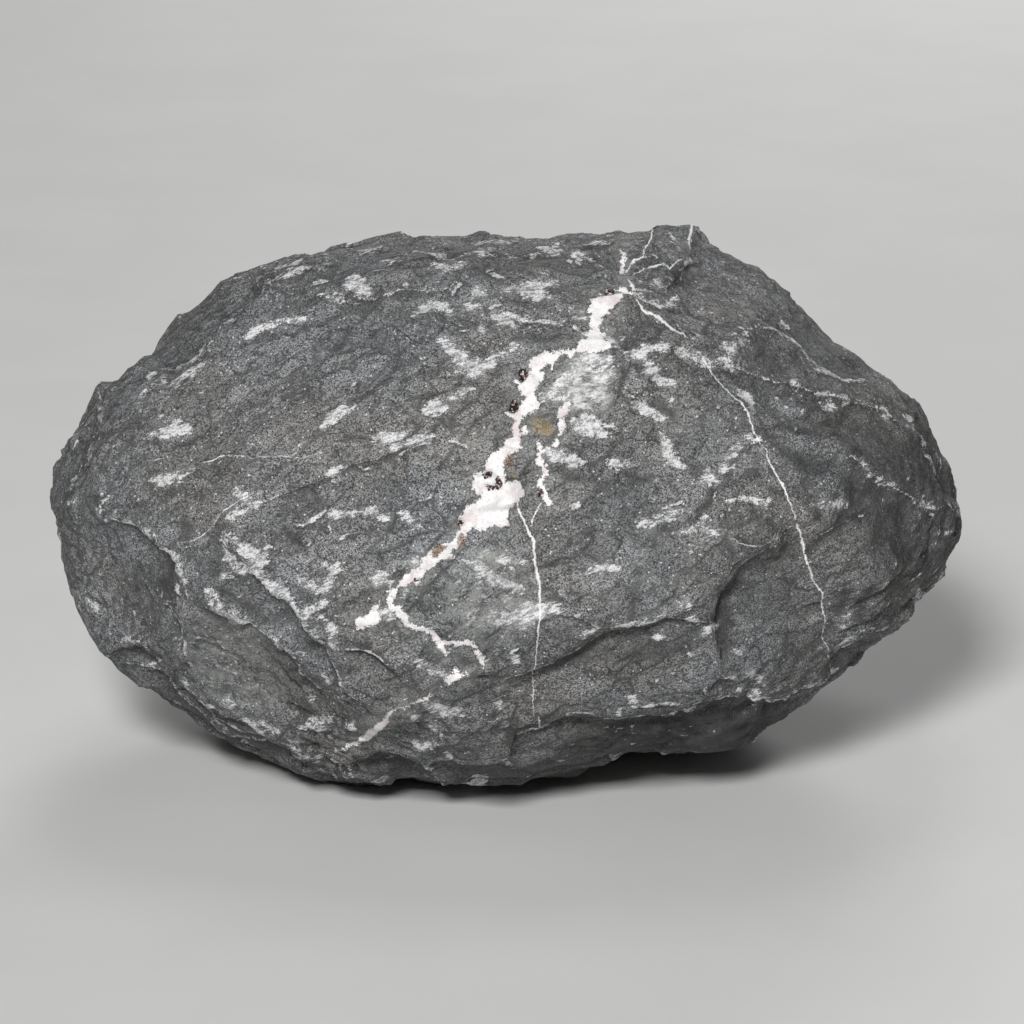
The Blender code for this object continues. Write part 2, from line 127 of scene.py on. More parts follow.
# ---- The vein, as closed outlines ------------------------------------------------------------
VEIN_OUTLINES = {
    "main_vein": [
        (600, 294), (605, 297), (619, 296), (622, 298), (621, 303), (602, 318), (604, 321),
        (598, 325), (602, 332), (606, 330), (606, 335), (603, 336), (602, 340), (609, 343),
        (613, 348), (611, 350), (595, 353), (576, 354), (570, 358), (566, 355), (560, 356),
        (553, 365), (553, 371), (550, 369), (551, 365), (548, 364), (539, 371), (544, 372),
        (545, 375), (534, 393), (540, 405), (535, 411), (523, 416), (519, 428), (522, 447),
        (510, 456), (506, 461), (502, 472), (506, 474), (504, 484), (517, 481), (521, 482),
        (525, 493), (523, 498), (515, 502), (513, 506), (510, 506), (508, 510), (508, 519),
        (510, 523), (508, 527), (496, 525), (482, 531), (473, 528), (469, 530), (467, 534),
        (469, 539), (466, 536), (452, 551), (452, 556), (439, 561), (426, 572), (423, 579),
        (418, 583), (413, 581), (406, 586), (399, 587), (395, 598), (392, 597), (393, 604),
        (396, 606), (399, 605), (404, 610), (409, 618), (409, 622), (419, 627), (430, 627),
        (440, 639), (441, 644), (445, 647), (449, 654), (447, 657), (438, 648), (429, 634),
        (407, 627), (396, 613), (387, 606), (387, 590), (389, 588), (391, 590), (392, 588),
        (395, 588), (401, 579), (408, 573), (411, 573), (411, 568), (420, 566), (420, 563),
        (424, 559), (422, 558), (426, 556), (431, 549), (444, 544), (445, 542), (451, 541),
        (458, 535), (457, 531), (460, 528), (460, 516), (466, 507), (476, 501), (481, 500),
        (482, 492), (480, 495), (473, 489), (472, 485), (475, 479), (472, 476), (474, 473),
        (478, 473), (485, 469), (485, 465), (489, 457), (500, 450), (506, 444), (504, 441),
        (510, 439), (514, 434), (511, 427), (517, 420), (510, 418), (505, 412), (508, 410),
        (515, 413), (518, 410), (521, 401), (525, 400), (527, 397), (523, 395), (516, 383),
        (513, 381), (526, 380), (531, 367), (529, 364), (536, 359), (546, 354), (553, 355),
        (562, 351), (570, 351), (575, 349), (582, 340), (586, 340), (587, 339), (582, 332),
        (587, 332), (592, 328), (590, 325), (590, 315), (588, 312), (591, 306), (590, 303),
        (598, 299),
    ],
    "top_blob": [
        (614, 287), (617, 286), (616, 283), (625, 279), (627, 282), (635, 289), (632, 291),
        (630, 294), (626, 295), (619, 292), (616, 290),
    ],
    "left_piece": [
        (378, 605), (379, 611), (380, 617), (379, 621), (376, 624), (365, 627), (357, 630),
        (358, 625), (355, 620), (358, 618), (363, 618), (367, 615), (370, 610), (373, 606),
    ],
    "end_patch": [(456, 671), (467, 674), (459, 678), (449, 683), (446, 677), (452, 673)],
    "lower_vein_upper_end": [
        (437, 689), (431, 696), (424, 700), (416, 702), (409, 704), (405, 707), (404, 705),
        (416, 700), (423, 698), (430, 693),
    ],
    "lower_vein": [
        (396, 708), (389, 715), (389, 719), (383, 729), (378, 731), (376, 737), (368, 742),
        (358, 746), (346, 750), (337, 754), (330, 758), (330, 756), (337, 752), (346, 748),
        (356, 742), (362, 737), (368, 729), (377, 723), (384, 717), (388, 713),
    ],
}

# Narrower stretches of vein, as a middle line of (x, y, width)
VEIN_STRETCHES = {
    "right_vein_top": [(569, 403, 5), (563, 411, 9), (560, 418, 5), (561, 426, 8),
                       (561, 431, 6), (557, 438, 3), (555, 445, 5)],
    "right_vein_low": [(539, 445, 5), (542, 451, 5), (538, 454, 3), (540, 462, 5),
                       (545, 467, 5), (546, 473, 4), (542, 479, 5), (541, 484, 6),
                       (546, 490, 5), (545, 496, 5), (549, 503, 6)],
    "side_branch": [(442, 644, 4), (453, 642, 4), (459, 643, 5), (466, 641, 4), (472, 643, 4),
                    (476, 647, 3), (478, 653, 5), (482, 659, 5), (482, 664, 3)],
    "white_crumb": [(524, 427, 6), (525, 430, 5)],
    "top_stub": [(622, 249, 4), (624, 258, 4), (623, 266, 4)],
    "top_right_foot": [(687, 263, 5), (691, 259, 4)],
    "link_to_end_patch": [(450, 661, 2), (454, 667, 2), (456, 673, 3)],
}

# ---- Thin white lines, as a middle line of (x, y, width) -------------------------------------
HAIRLINES = {
    "centre": [(517, 502, 2), (518, 507, 2.4), (521, 515, 2.6), (525, 522, 2.6), (528, 529, 3),
               (530, 535, 3), (534, 541, 3), (533, 547, 3), (535, 556, 3), (534, 560, 3),
               (537, 572, 3), (540, 585, 3), (540, 615, 3), (538, 630, 2.4), (537, 645, 1.6),
               (536, 660, 1.2), (534, 680, 1.2), (533, 700, 1.4), (534, 718, 1.2)],
    "centre_foot": [(540, 718, 1.8), (541, 729, 2)],
    "centre_fork": [(542, 503, 2), (537, 510, 2), (533, 520, 1.8), (531, 528, 1.2)],
    "right_a": [(700, 358, 1.8), (707, 365, 2.0), (713, 377, 1.6), (724, 388, 1.8),
                (735, 398, 2.2), (740, 403, 2.4), (748, 418, 2.2), (755, 435, 2.0),
                (760, 444, 1.4), (766, 450, 1.4), (768, 460, 1.8), (773, 468, 2.2),
                (780, 480, 2.4), (786, 490, 3.2), (789, 500, 1.8), (794, 513, 1.4),
                (798, 521, 1.8)],
    "right_b": [(798, 521, 1.8), (800, 532, 2.4), (803, 545, 3.8), (804, 552, 3.0),
                (807, 562, 2.4), (811, 572, 2.4), (812, 580, 2.0), (818, 587, 2.0),
                (822, 593, 2.0), (822, 605, 2.0), (824, 620, 1.5), (823, 640, 1.3),
                (828, 648, 1.3), (830, 660, 1.1)],
    "left_a": [(180, 543, 0.6), (195, 540, 0.9), (205, 534, 1.2), (214, 525, 1.0),
               (222, 512, 0.9), (235, 503, 1.2), (243, 498, 1.0), (265, 487, 0.5)],
    "left_b": [(198, 463, 0.8), (210, 461, 1.4), (222, 455, 1.8), (235, 455, 1.2),
               (250, 458, 0.8), (280, 457, 0.9), (305, 457, 0.8), (333, 451, 0.6)],
    "left_c": [(148, 459, 0.6), (158, 460, 0.9), (167, 457, 0.7)],
    "left_limb": [(133, 360, 0.8), (118, 372, 1.2), (103, 391, 1.0), (101, 405, 1.0),
                  (98, 425, 1.2), (92, 445, 1.0), (83, 463, 1.1), (70, 475, 0.9),
                  (65, 492, 1.0), (66, 506, 0.6)],
    "right_spur": [(725, 537, 0.8), (735, 540, 1.0), (742, 545, 1.2), (762, 545, 1.0),
                   (778, 532, 0.8)],
    "blob_spur": [(630, 274, 3), (633, 279, 4), (636, 284, 4)],
    "top_a": [(621, 266, 2), (630, 266, 2), (631, 263, 2), (638, 261, 2), (642, 260, 2),
              (643, 254, 2), (645, 248, 2), (649, 243, 2), (652, 238, 2), (652, 228, 2.4)],
    "top_b": [(633, 271, 1.5), (643, 268, 1.5), (649, 266, 2), (655, 267, 2.2), (660, 265, 2),
              (663, 264, 2), (669, 269, 2.6), (674, 264, 2), (681, 259, 1.8)],
    "top_right": [(687, 263, 4), (692, 258, 3.5), (692, 250, 3.2), (690, 240, 3), (691, 229, 3.5)],
    "top_diagonal": [(634, 302, 1.8), (640, 307, 2.4), (643, 311, 3), (648, 313, 2.8),
                     (655, 315, 3), (660, 319, 4), (668, 327, 3.4), (675, 331, 2.8),
                     (681, 335, 1.8), (684, 339, 1.2)],
    "left_loop": [(380, 600, 1.4), (379, 603, 1.8), (380, 607, 1.4)],
    "vein_link": [(404, 706, 1.4), (396, 708, 1.4)],
    "branch_end": [(482, 664, 2), (486, 663, 1.6), (491, 661, 1)],
    "scoop_line": [(913, 608, 1.4), (920, 592, 1.4)],
    "little_line": [(404, 700, 1), (407, 697, 1.2)],
}

# Thin dark cracks and gaps, painted as the shade in them, likewise
CRACKS = {
    "rim_hollow": [(108, 653, 2.2), (122, 649, 4), (140, 649, 4), (154, 656, 1.6)],
    "rim_gap_left": [(140, 669, 1.2), (155, 676, 1.8), (168, 686, 1.4)],
    "rim_gap_low": [(164, 691, 1.4), (178, 694, 2.4), (187, 700, 1.4)],
    "rim_gap_dark": [(188, 699, 1.6), (196, 708, 2.8), (201, 715, 1.6)],
    "rim_gap_long": [(206, 713, 1.2), (218, 722, 2), (232, 725, 2.4), (246, 733, 1.4)],
    "rim_gap_right": [(246, 738, 1.4), (258, 742, 2.4), (271, 746, 2.8), (286, 749, 2.2),
                      (295, 757, 1.4)],
    "rim_gap_end": [(298, 745, 2), (308, 750, 3.2), (320, 753, 2)],
    "under_ridge": [(274, 660, 1.4), (283, 672, 2.4), (295, 684, 2.4), (309, 697, 1.4)],
    "below_vein": [(461, 560, 1.4), (468, 567, 1.8), (475, 573, 1.4)],
    "long_crack": [(344, 685, 1.6), (358, 689, 2), (369, 695, 2), (378, 698, 2), (389, 705, 1.4)],
    "vein_slit": [(483, 489, 1.6), (485, 492, 1.8), (487, 494, 1.2)],
    "top_crease": [(304, 262, 1.6), (312, 268, 2), (325, 270, 2), (340, 269, 1.2)],
    "face_corner": [(395, 328, 1.2), (406, 336, 2), (413, 342, 2.4), (424, 346, 1.2)],
    "corner_arm": [(436, 338, 1.6), (443, 332, 2.6), (449, 322, 1.6)],
    "beside_patch": [(393, 391, 1.2), (406, 384, 1.6), (418, 375, 1.8), (424, 367, 1.2)],
    "long_shade": [(360, 398, 1.4), (372, 388, 1.8), (381, 380, 1.2)],
    "middle_fold": [(350, 466, 1.2), (362, 460, 1.8), (372, 458, 1.2)],
    "right_fold": [(383, 469, 1.2), (392, 473, 1.8), (402, 479, 1.6), (425, 484, 1.2),
                   (438, 486, 1)],
    "low_fold": [(255, 509, 1.2), (275, 507, 1.4), (292, 503, 1.4), (305, 495, 1.4),
                 (316, 485, 1.2)],
    "lens_foot": [(379, 679, 2.4), (392, 679, 2.6), (403, 674, 2), (415, 671, 1.4)],
    "upper_right": [(622, 386, 1.4), (632, 395, 2), (640, 404, 1.4)],
    "right_low": [(628, 438, 1.2), (640, 441, 1.6), (655, 441, 1.2)],
    "above_scar": [(705, 572, 1.2), (692, 584, 1.6), (682, 596, 1.2)],
    "bottom_crack": [(309, 667, 1.6), (320, 669, 2), (330, 670, 1.2)],
    "lens_shade": [(349, 652, 1.6), (363, 656, 2), (375, 662, 2.2), (388, 671, 2),
                   (397, 677, 1.6)],
}

# Painted shade in the soft dark folds between the broken faces, likewise
FOLD_DARKNESS = 0.8
FOLD_SOFTNESS = 4.0                 # pixels over which the edge of a fold fades
FOLDS = [
    [(685, 465, 7), (697, 468, 10), (704, 472, 8)], [(716, 482, 8), (712, 494, 10), (706, 505, 8)],
    [(717, 490, 7), (728, 472, 10), (741, 448, 7)], [(763, 435, 8), (776, 449, 13), (790, 458, 12)],
    [(790, 456, 12), (804, 464, 17), (820, 472, 13)],
    [(781, 424, 7), (796, 429, 9), (812, 431, 9), (829, 434, 7)],
    [(822, 433, 7), (838, 436, 10), (851, 448, 10), (856, 462, 8)],
    [(845, 480, 8), (850, 490, 12), (848, 508, 11), (856, 518, 8)],
    [(806, 502, 7), (816, 512, 9), (823, 523, 7)],
    [(862, 514, 9), (845, 521, 11), (832, 528, 12), (818, 539, 11), (807, 552, 9)],
    [(856, 504, 7), (864, 493, 12), (872, 480, 8)], [(870, 506, 7), (877, 496, 10), (881, 484, 7)],
    [(860, 424, 6), (868, 438, 8), (877, 449, 6)], [(897, 481, 7), (908, 490, 10), (918, 500, 8)],
    [(884, 530, 7), (893, 546, 10), (897, 566, 8)], [(880, 588, 9), (893, 585, 14), (904, 590, 10)],
    [(846, 586, 8), (843, 598, 11), (840, 614, 8)], [(868, 586, 8), (862, 600, 12), (858, 618, 9)],
    [(669, 520, 7), (660, 534, 10), (652, 548, 8)],
    [(726, 590, 14), (722, 606, 18), (727, 622, 14)], [(712, 616, 6), (724, 634, 9), (738, 654, 7)],
    [(596, 646, 8), (572, 660, 12), (548, 670, 8)], [(172, 560, 8), (168, 574, 13), (166, 590, 10)],
    [(346, 640, 6), (366, 648, 8), (388, 668, 7)], [(724, 538, 7), (729, 548, 9), (734, 560, 7)],
    [(195, 600, 8), (210, 612, 10), (226, 626, 8)], [(224, 590, 8), (244, 604, 11), (263, 619, 8)],
    [(183, 520, 10), (188, 530, 14), (184, 541, 10)],
    [(282, 528, 7), (291, 537, 10), (302, 546, 7)], [(160, 500, 7), (170, 492, 9), (184, 488, 7)],
    [(620, 470, 7), (634, 478, 9), (650, 480, 7)], [(655, 400, 7), (668, 410, 10), (676, 422, 7)],
    [(560, 470, 7), (574, 478, 9), (590, 480, 7)],
]

# ---- Ledges: the surface drops on the right-hand side of each line as it is followed ---------
# Each is (drop in mm, width of its bruised edge, strength of the shade below it, points)
LEDGES = {
    "left_scar": (2.3, 1.7, 0.8, [(112, 517), (140, 530), (165, 553), (176, 568), (182, 584),
                                  (186, 600)]),
    "long_diagonal": (1.8, 1.3, 0.7, [(222, 540), (255, 578), (290, 610), (330, 655),
                                      (345, 695)]),
    "short_diagonal": (1.3, 1.3, 0.6, [(205, 606), (242, 624), (268, 638), (290, 655),
                                       (302, 675), (320, 695)]),
    "lower_scoop": (2.2, 1.5, 1.0, [(505, 680), (545, 668), (580, 650), (605, 634), (640, 628),
                                    (662, 616), (690, 622), (714, 622)]),
    "keel": (2.3, 1.0, 1.0, [(478, 768), (510, 745), (545, 727), (565, 718), (600, 718),
                             (640, 718), (668, 716), (700, 703), (745, 700), (772, 702),
                             (800, 688), (830, 672), (837, 650), (860, 638), (890, 625)]),
    "right_scar": (0.6, 0.7, 0.3, [(716, 622), (712, 606), (722, 588), (745, 562), (768, 546),
                                   (795, 528)]),
    "shoulder_ridge": (2.0, 1.5, 0.9, [(872, 384), (842, 379), (815, 362), (795, 338),
                                       (757, 316)]),
    "second_ridge": (1.4, 1.1, 0.7, [(730, 365), (775, 380), (812, 392), (850, 400), (885, 408),
                                     (902, 428)]),
    "end_ridge": (1.4, 1.0, 0.6, [(848, 453), (880, 481), (920, 501)]),
    "end_limb": (1.4, 1.0, 0.5, [(952, 513), (940, 490), (928, 455), (921, 430)]),
    "left_limb": (0.6, 0.0, 0.4, [(142, 366), (118, 388), (101, 405), (97, 437), (83, 463),
                                  (70, 475), (64, 488), (65, 506)]),
    "upper_left": (1.8, 1.1, 0.6, [(265, 281), (250, 300), (235, 315), (213, 338), (187, 358),
                                   (165, 369), (146, 374)]),
    "upper_left_low": (1.1, 0.8, 0.4, [(208, 357), (190, 369), (172, 381), (150, 384)]),
    "middle_step": (0.9, 0.6, 0.5, [(255, 505), (318, 481), (345, 467), (380, 457), (412, 444),
                                    (438, 436)]),
    "foot_left": (1.8, 0.9, 0.8, [(106, 656), (125, 647), (147, 653), (165, 668), (185, 690),
                                  (200, 705), (225, 718), (245, 725), (264, 739), (285, 746),
                                  (304, 758)]),
    "foot_left_low": (1.6, 0.9, 0.8, [(118, 661), (142, 664), (160, 676), (180, 700),
                                      (205, 722), (225, 737), (250, 745), (290, 752),
                                      (325, 765), (362, 780)]),
    "foot_left_mid": (1.0, 0.8, 0.8, [(196, 706), (214, 720), (235, 732), (256, 741), (292, 750)]),
    "notch": (2.2, 0.8, 1.0, [(345, 770), (361, 763), (380, 757), (399, 757), (417, 768),
                              (442, 781)]),
    "foot_shelf": (1.4, 1.0, 0.9, [(424, 772), (440, 763), (462, 764), (484, 760), (502, 758)]),
    "block_side": (0.5, 0.3, 0.5, [(680, 304), (668, 286), (687, 264), (692, 247), (694, 233)]),
    "low_shelf": (1.1, 0.9, 0.6, [(700, 690), (722, 680), (745, 680), (762, 672)]),
    "top_terrace": (1.1, 0.6, 0.5, [(300, 300), (330, 293), (370, 300), (400, 292), (440, 292),
                                    (462, 280)]),
    "rim_terrace": (1.1, 0.5, 0.4, [(600, 262), (570, 252), (520, 258), (480, 252), (450, 260),
                                    (415, 254), (385, 262), (350, 262), (320, 270),
                                    (265, 281)]),
    "crack_lens": (1.4, 0.9, 0.8, [(345, 648), (362, 651), (379, 660), (390, 668), (399, 674)]),
    "shelf_lens": (0.7, 0.7, 0.5, [(540, 622), (555, 614), (575, 616), (590, 622), (600, 630)]),
    "left_scar_foot": (1.3, 1.5, 0.6, [(163, 604), (170, 612), (175, 622), (179, 632),
                                       (182, 645), (187, 655)]),
    "fan_rib": (0.7, 0.6, 0.4, [(812, 540), (828, 530), (845, 522), (870, 512)]),
    "corner_rib": (0.9, 0.6, 0.5, [(846, 612), (868, 596), (890, 582), (905, 566)]),
}

# ---- Scuffs: pale bruised stone, each a ragged stroke through (x, y, width) ------------------
SCUFFS = [
    # left end
    [(164, 605, 2.5), (171, 615, 4), (176, 626, 2.5)],
    [(181, 640, 2.5), (184, 648, 4.4), (187, 656, 3)],
    [(152, 437, 4), (165, 433, 11), (178, 430, 12), (188, 429, 9)],
    [(162, 418, 4), (170, 422, 5), (184, 424, 5)],
    [(151, 480, 4), (162, 480, 9), (175, 477, 6), (184, 477, 3), (195, 469, 3)],
    [(236, 491, 5), (246, 498, 7), (256, 504, 8), (261, 504, 5)],
    [(229, 517, 6), (235, 516, 11), (241, 511, 7)],
    [(109, 494, 3), (103, 505, 2), (98, 511, 2)],
    [(116, 519, 3), (124, 521, 4), (134, 526, 5), (141, 530, 3)],
    [(146, 532, 6), (154, 534, 6)],
    [(152, 541, 2), (163, 550, 6), (172, 558, 10), (177, 567, 12), (179, 576, 9), (184, 588, 3)],
    [(173, 584, 2), (174, 592, 3), (177, 599, 2)],
    [(164, 605, 3), (170, 613, 4), (176, 622, 2), (180, 632, 3), (182, 643, 5), (184, 653, 6)],
    [(187, 663, 4), (191, 669, 3)],
    [(86, 600, 3), (92, 604, 5), (98, 610, 5)],
    [(123, 643, 4), (130, 640, 6), (134, 643, 3)],
    [(209, 592, 5), (214, 596, 8), (218, 602, 4)],
    [(211, 605, 4), (222, 611, 6), (232, 617, 9), (241, 622, 8), (245, 624, 4)],
    [(227, 537, 6), (226, 548, 5), (227, 558, 8), (233, 566, 8), (243, 572, 10), (255, 578, 7)],
    [(222, 575, 5), (227, 575, 6)],
    [(235, 538, 4), (243, 546, 8), (250, 552, 14), (258, 560, 15), (265, 558, 7), (266, 545, 4)],
    [(246, 564, 6), (262, 571, 8), (267, 574, 6)],
    [(261, 582, 6), (270, 586, 14), (279, 593, 14), (287, 602, 10), (295, 612, 8), (302, 621, 5),
     (316, 634, 4), (322, 644, 3)],
    [(280, 585, 6), (285, 589, 5)],
    [(270, 637, 3), (276, 640, 6), (281, 646, 3)],
    [(285, 650, 3), (293, 652, 3), (300, 653, 5), (304, 655, 3)],
    [(222, 647, 4), (226, 651, 4)],
    [(290, 668, 4), (294, 672, 5), (298, 677, 3)],
    # upper left
    [(244, 338, 4), (252, 332, 8), (262, 328, 5), (274, 323, 6), (278, 321, 3)],
    [(284, 320, 3), (293, 319, 5), (304, 318, 3)],
    [(153, 370, 3), (162, 367, 3), (172, 366, 1)],
    [(149, 375, 2), (162, 373, 5), (173, 369, 7), (181, 363, 3)],
    [(160, 381, 3), (168, 379, 5), (178, 373, 4), (187, 368, 3)],
    [(171, 385, 4), (181, 378, 6), (192, 370, 4), (201, 364, 3), (208, 358, 2)],
    [(186, 358, 3), (194, 356, 5), (203, 350, 4), (211, 343, 3)],
    [(272, 268, 3), (285, 266, 4), (298, 263, 3), (304, 261, 1)],
    [(266, 282, 3), (279, 282, 2.5), (292, 279, 3), (305, 273, 2.5), (314, 268, 2)],
    [(311, 285, 4), (320, 281, 4), (328, 280, 3)],
    [(329, 296, 3), (338, 300, 6), (346, 301, 2), (357, 304, 2)],
    [(350, 286, 8), (358, 287, 15), (366, 292, 9), (369, 296, 5)],
    [(350, 282, 5), (360, 281, 6), (366, 283, 5)],
    [(324, 424, 5), (331, 419, 10), (340, 412, 9), (352, 407, 5)],
    [(352, 386, 3), (357, 382, 4)],
    # top
    [(344, 246, 2), (352, 245, 2)], [(357, 248, 3), (368, 247, 3), (382, 245, 2)],
    [(304, 253, 2), (314, 250, 3)],
    [(384, 262, 2.5), (400, 259, 5), (408, 256, 4), (416, 253, 2.5)],
    [(392, 254, 3), (401, 255, 3)], [(389, 266, 3), (396, 262, 3)],
    [(374, 275, 2.5), (386, 272, 3)], [(404, 288, 4), (410, 288, 4)],
    [(427, 255, 2.5), (436, 258, 4), (447, 257, 3)],
    [(434, 264, 4), (442, 268, 13), (454, 265, 9), (461, 264, 3)],
    [(450, 264, 2), (462, 260, 3), (475, 255, 8), (485, 252, 9), (492, 249, 4)],
    [(487, 267, 3), (494, 265, 3)], [(489, 270, 3), (497, 273, 4), (504, 275, 3)],
    [(506, 252, 5), (512, 256, 5)], [(452, 295, 3), (458, 287, 4), (462, 282, 4)],
    [(477, 241, 2), (490, 241, 2), (503, 243, 3), (511, 246, 5), (518, 246, 3)],
    [(504, 240, 2.5), (519, 239, 2.5)],
    [(475, 291, 8), (482, 293, 6)],
    [(414, 316, 3), (424, 310, 9), (436, 306, 13), (447, 307, 7)],
    [(470, 304, 7), (476, 303, 6)], [(489, 306, 3), (501, 304, 3)],
    [(494, 311, 8), (501, 318, 9), (512, 316, 6), (525, 315, 6), (531, 317, 4)],
    [(507, 321, 8), (514, 326, 9)],
    [(508, 289, 4), (518, 287, 8), (532, 285, 8), (545, 283, 5), (556, 283, 4)],
    [(524, 293, 6), (538, 294, 9), (550, 297, 5)],
    [(541, 246, 5), (548, 249, 9), (560, 248, 7), (568, 249, 4)],
    [(547, 240, 2), (556, 237, 3)], [(570, 254, 4), (580, 256, 5), (587, 256, 3)],
    [(567, 262, 4), (572, 261, 4)], [(574, 260, 1.5), (582, 265, 2)],
    [(583, 243, 1.8), (600, 243, 2.5), (614, 242, 1.8)], [(604, 238, 3), (614, 236, 2)],
    [(669, 233, 2), (677, 240, 3)], [(650, 256, 4), (657, 259, 3)],
    [(658, 281, 7), (663, 286, 8), (670, 286, 4)], [(636, 283, 3), (648, 284, 4), (655, 286, 3)],
    [(521, 316, 3), (540, 320, 4), (552, 323, 4), (563, 326, 3)],
    [(573, 325, 4), (578, 330, 3)], [(574, 318, 4), (583, 318, 5)],
    [(606, 337, 5), (614, 342, 6), (618, 347, 4)],
    [(633, 290, 4), (645, 295, 6), (657, 299, 6), (670, 301, 5), (678, 299, 4)],
    # left of the vein
    [(481, 326, 6), (484, 331, 5)], [(462, 333, 2), (470, 331, 3)],
    [(440, 342, 6), (447, 346, 12), (452, 354, 10), (462, 360, 12), (472, 366, 11),
     (482, 366, 7), (493, 359, 5), (503, 355, 4)],
    [(511, 350, 3), (515, 345, 6)], [(420, 359, 4), (421, 360, 4)],
    [(457, 371, 4), (466, 370, 8), (475, 374, 9), (484, 370, 5), (495, 362, 3)],
    [(424, 413, 6), (431, 410, 15), (440, 408, 12), (446, 406, 5)],
    [(449, 400, 3), (458, 395, 7), (467, 392, 8), (473, 391, 4)],
    [(374, 437, 6), (385, 436, 10), (396, 437, 8), (404, 434, 6), (411, 437, 3)],
    [(385, 443, 3), (396, 446, 6), (408, 444, 9), (420, 439, 11), (430, 437, 7)],
    [(397, 457, 1.6), (404, 452, 2), (415, 447, 2), (426, 443, 1.6)],
    [(377, 458, 3), (380, 458, 3)], [(327, 475, 3), (335, 471, 6), (342, 467, 6), (347, 467, 3)],
    [(333, 480, 4), (340, 476, 5)], [(357, 466, 2), (363, 469, 2), (369, 468, 3)],
    [(448, 441, 2), (455, 442, 2.5), (468, 447, 2)], [(418, 501, 2), (426, 500, 3), (432, 495, 2)],
    # below the left of the vein
    [(296, 526, 2.5), (305, 525, 4), (314, 519, 4), (321, 514, 4), (327, 508, 3)],
    [(329, 513, 7), (336, 514, 9), (344, 512, 5), (360, 512, 4)],
    [(363, 515, 6), (372, 510, 6), (378, 516, 6), (387, 516, 5)],
    [(402, 514, 5), (408, 519, 10), (417, 524, 6)],
    [(336, 542, 1.6), (343, 537, 1.8), (350, 532, 1.4)],
    [(305, 549, 1.6), (310, 543, 1.8), (313, 538, 1.2)], [(329, 525, 2), (330, 533, 2.5)],
    [(327, 566, 5), (334, 569, 9), (341, 572, 5)], [(342, 564, 2), (347, 561, 4)],
    [(299, 583, 4), (308, 583, 7), (318, 589, 9), (328, 586, 8), (332, 575, 6)],
    [(317, 605, 7), (324, 603, 8)], [(306, 612, 7), (312, 612, 7)],
    [(321, 618, 5), (328, 623, 7), (334, 631, 6)], [(330, 640, 3), (337, 645, 5)],
    [(372, 579, 5), (380, 577, 13), (388, 580, 9)], [(382, 613, 7), (390, 614, 8)],
    [(408, 563, 5), (418, 562, 7)], [(446, 561, 3), (455, 556, 3)],
    # right of the vein
    [(585, 357, 10), (600, 360, 12), (612, 362, 7)], [(555, 392, 10), (563, 382, 14), (577, 376, 10)],
    [(588, 366, 8), (600, 372, 12), (610, 372, 6)], [(584, 395, 7), (594, 398, 5)],
    [(542, 398, 7), (551, 394, 8)], [(561, 398, 6), (568, 394, 6)],
    [(575, 422, 8), (584, 424, 22), (594, 428, 18), (602, 433, 8)],
    [(602, 425, 3), (612, 427, 4), (618, 429, 2)],
    [(548, 452, 7), (556, 456, 13), (567, 459, 11), (577, 462, 8), (584, 463, 3)],
    [(564, 444, 2), (577, 443, 3)], [(611, 463, 5), (619, 464, 11), (626, 464, 6)],
    [(626, 354, 5), (636, 354, 8), (645, 352, 10), (651, 348, 5)],
    [(655, 350, 7), (665, 350, 6)], [(646, 364, 5), (652, 372, 11), (661, 381, 9), (672, 385, 8)],
    [(635, 405, 4), (643, 407, 9), (651, 413, 9), (658, 417, 6), (666, 418, 3)],
    [(626, 397, 2), (638, 399, 2)], [(668, 405, 5), (671, 401, 4)],
    [(661, 434, 4), (665, 443, 9), (667, 452, 11), (672, 460, 10), (678, 464, 8), (685, 467, 3)],
    [(715, 407, 3), (719, 408, 4)],
    [(678, 352, 7), (688, 355, 7), (696, 359, 8), (704, 363, 7), (709, 368, 4)],
    [(719, 362, 6), (728, 364, 6), (733, 368, 3)],
    [(724, 346, 5), (730, 351, 10), (734, 348, 6)],
    [(742, 389, 6), (748, 397, 11), (752, 405, 7), (752, 420, 4)],
    [(744, 438, 4), (752, 438, 5), (758, 440, 3)], [(729, 457, 6), (735, 450, 7), (742, 443, 5)],
    [(721, 471, 4), (726, 467, 7), (733, 466, 5)],
    [(703, 481, 5), (708, 474, 8), (712, 480, 9), (719, 483, 4)],
    [(718, 490, 2.5), (714, 498, 2)], [(728, 500, 2), (742, 499, 3), (755, 499, 4), (769, 502, 5)],
    [(662, 509, 2), (672, 505, 2.5), (684, 501, 2)], [(571, 508, 4), (576, 506, 8)],
    [(640, 525, 3), (648, 522, 7), (655, 518, 5), (664, 519, 6), (672, 517, 5)],
    [(668, 508, 4), (675, 510, 7), (680, 514, 5)], [(683, 532, 3), (690, 531, 5), (696, 530, 4)],
    [(697, 526, 3), (703, 520, 5), (707, 516, 4)], [(704, 529, 3), (712, 532, 5), (718, 535, 2)],
    [(700, 554, 3), (700, 556, 4)], [(588, 572, 4), (596, 570, 8), (606, 568, 10), (615, 571, 8)],
    [(616, 532, 2), (620, 527, 3)], [(733, 564, 4), (741, 560, 3)], [(683, 605, 6), (689, 605, 6)],
    # the broad pale swaths below the vein
    [(464, 561, 5), (476, 563, 9), (487, 573, 12), (497, 581, 12), (508, 584, 10), (520, 590, 9)],
    [(494, 557, 7), (507, 563, 6), (513, 570, 4)], [(518, 560, 5), (524, 561, 4)],
    [(499, 620, 9), (508, 618, 13), (520, 614, 13), (531, 608, 14), (545, 606, 8), (559, 605, 3)],
    [(524, 625, 10), (533, 618, 10), (546, 612, 7), (562, 613, 3)],
    [(510, 655, 3), (515, 651, 3), (518, 649, 2)], [(512, 659, 7), (516, 660, 7)],
    [(574, 616, 3), (580, 615, 4)], [(588, 610, 4), (591, 609, 4)], [(584, 636, 5), (596, 629, 5)],
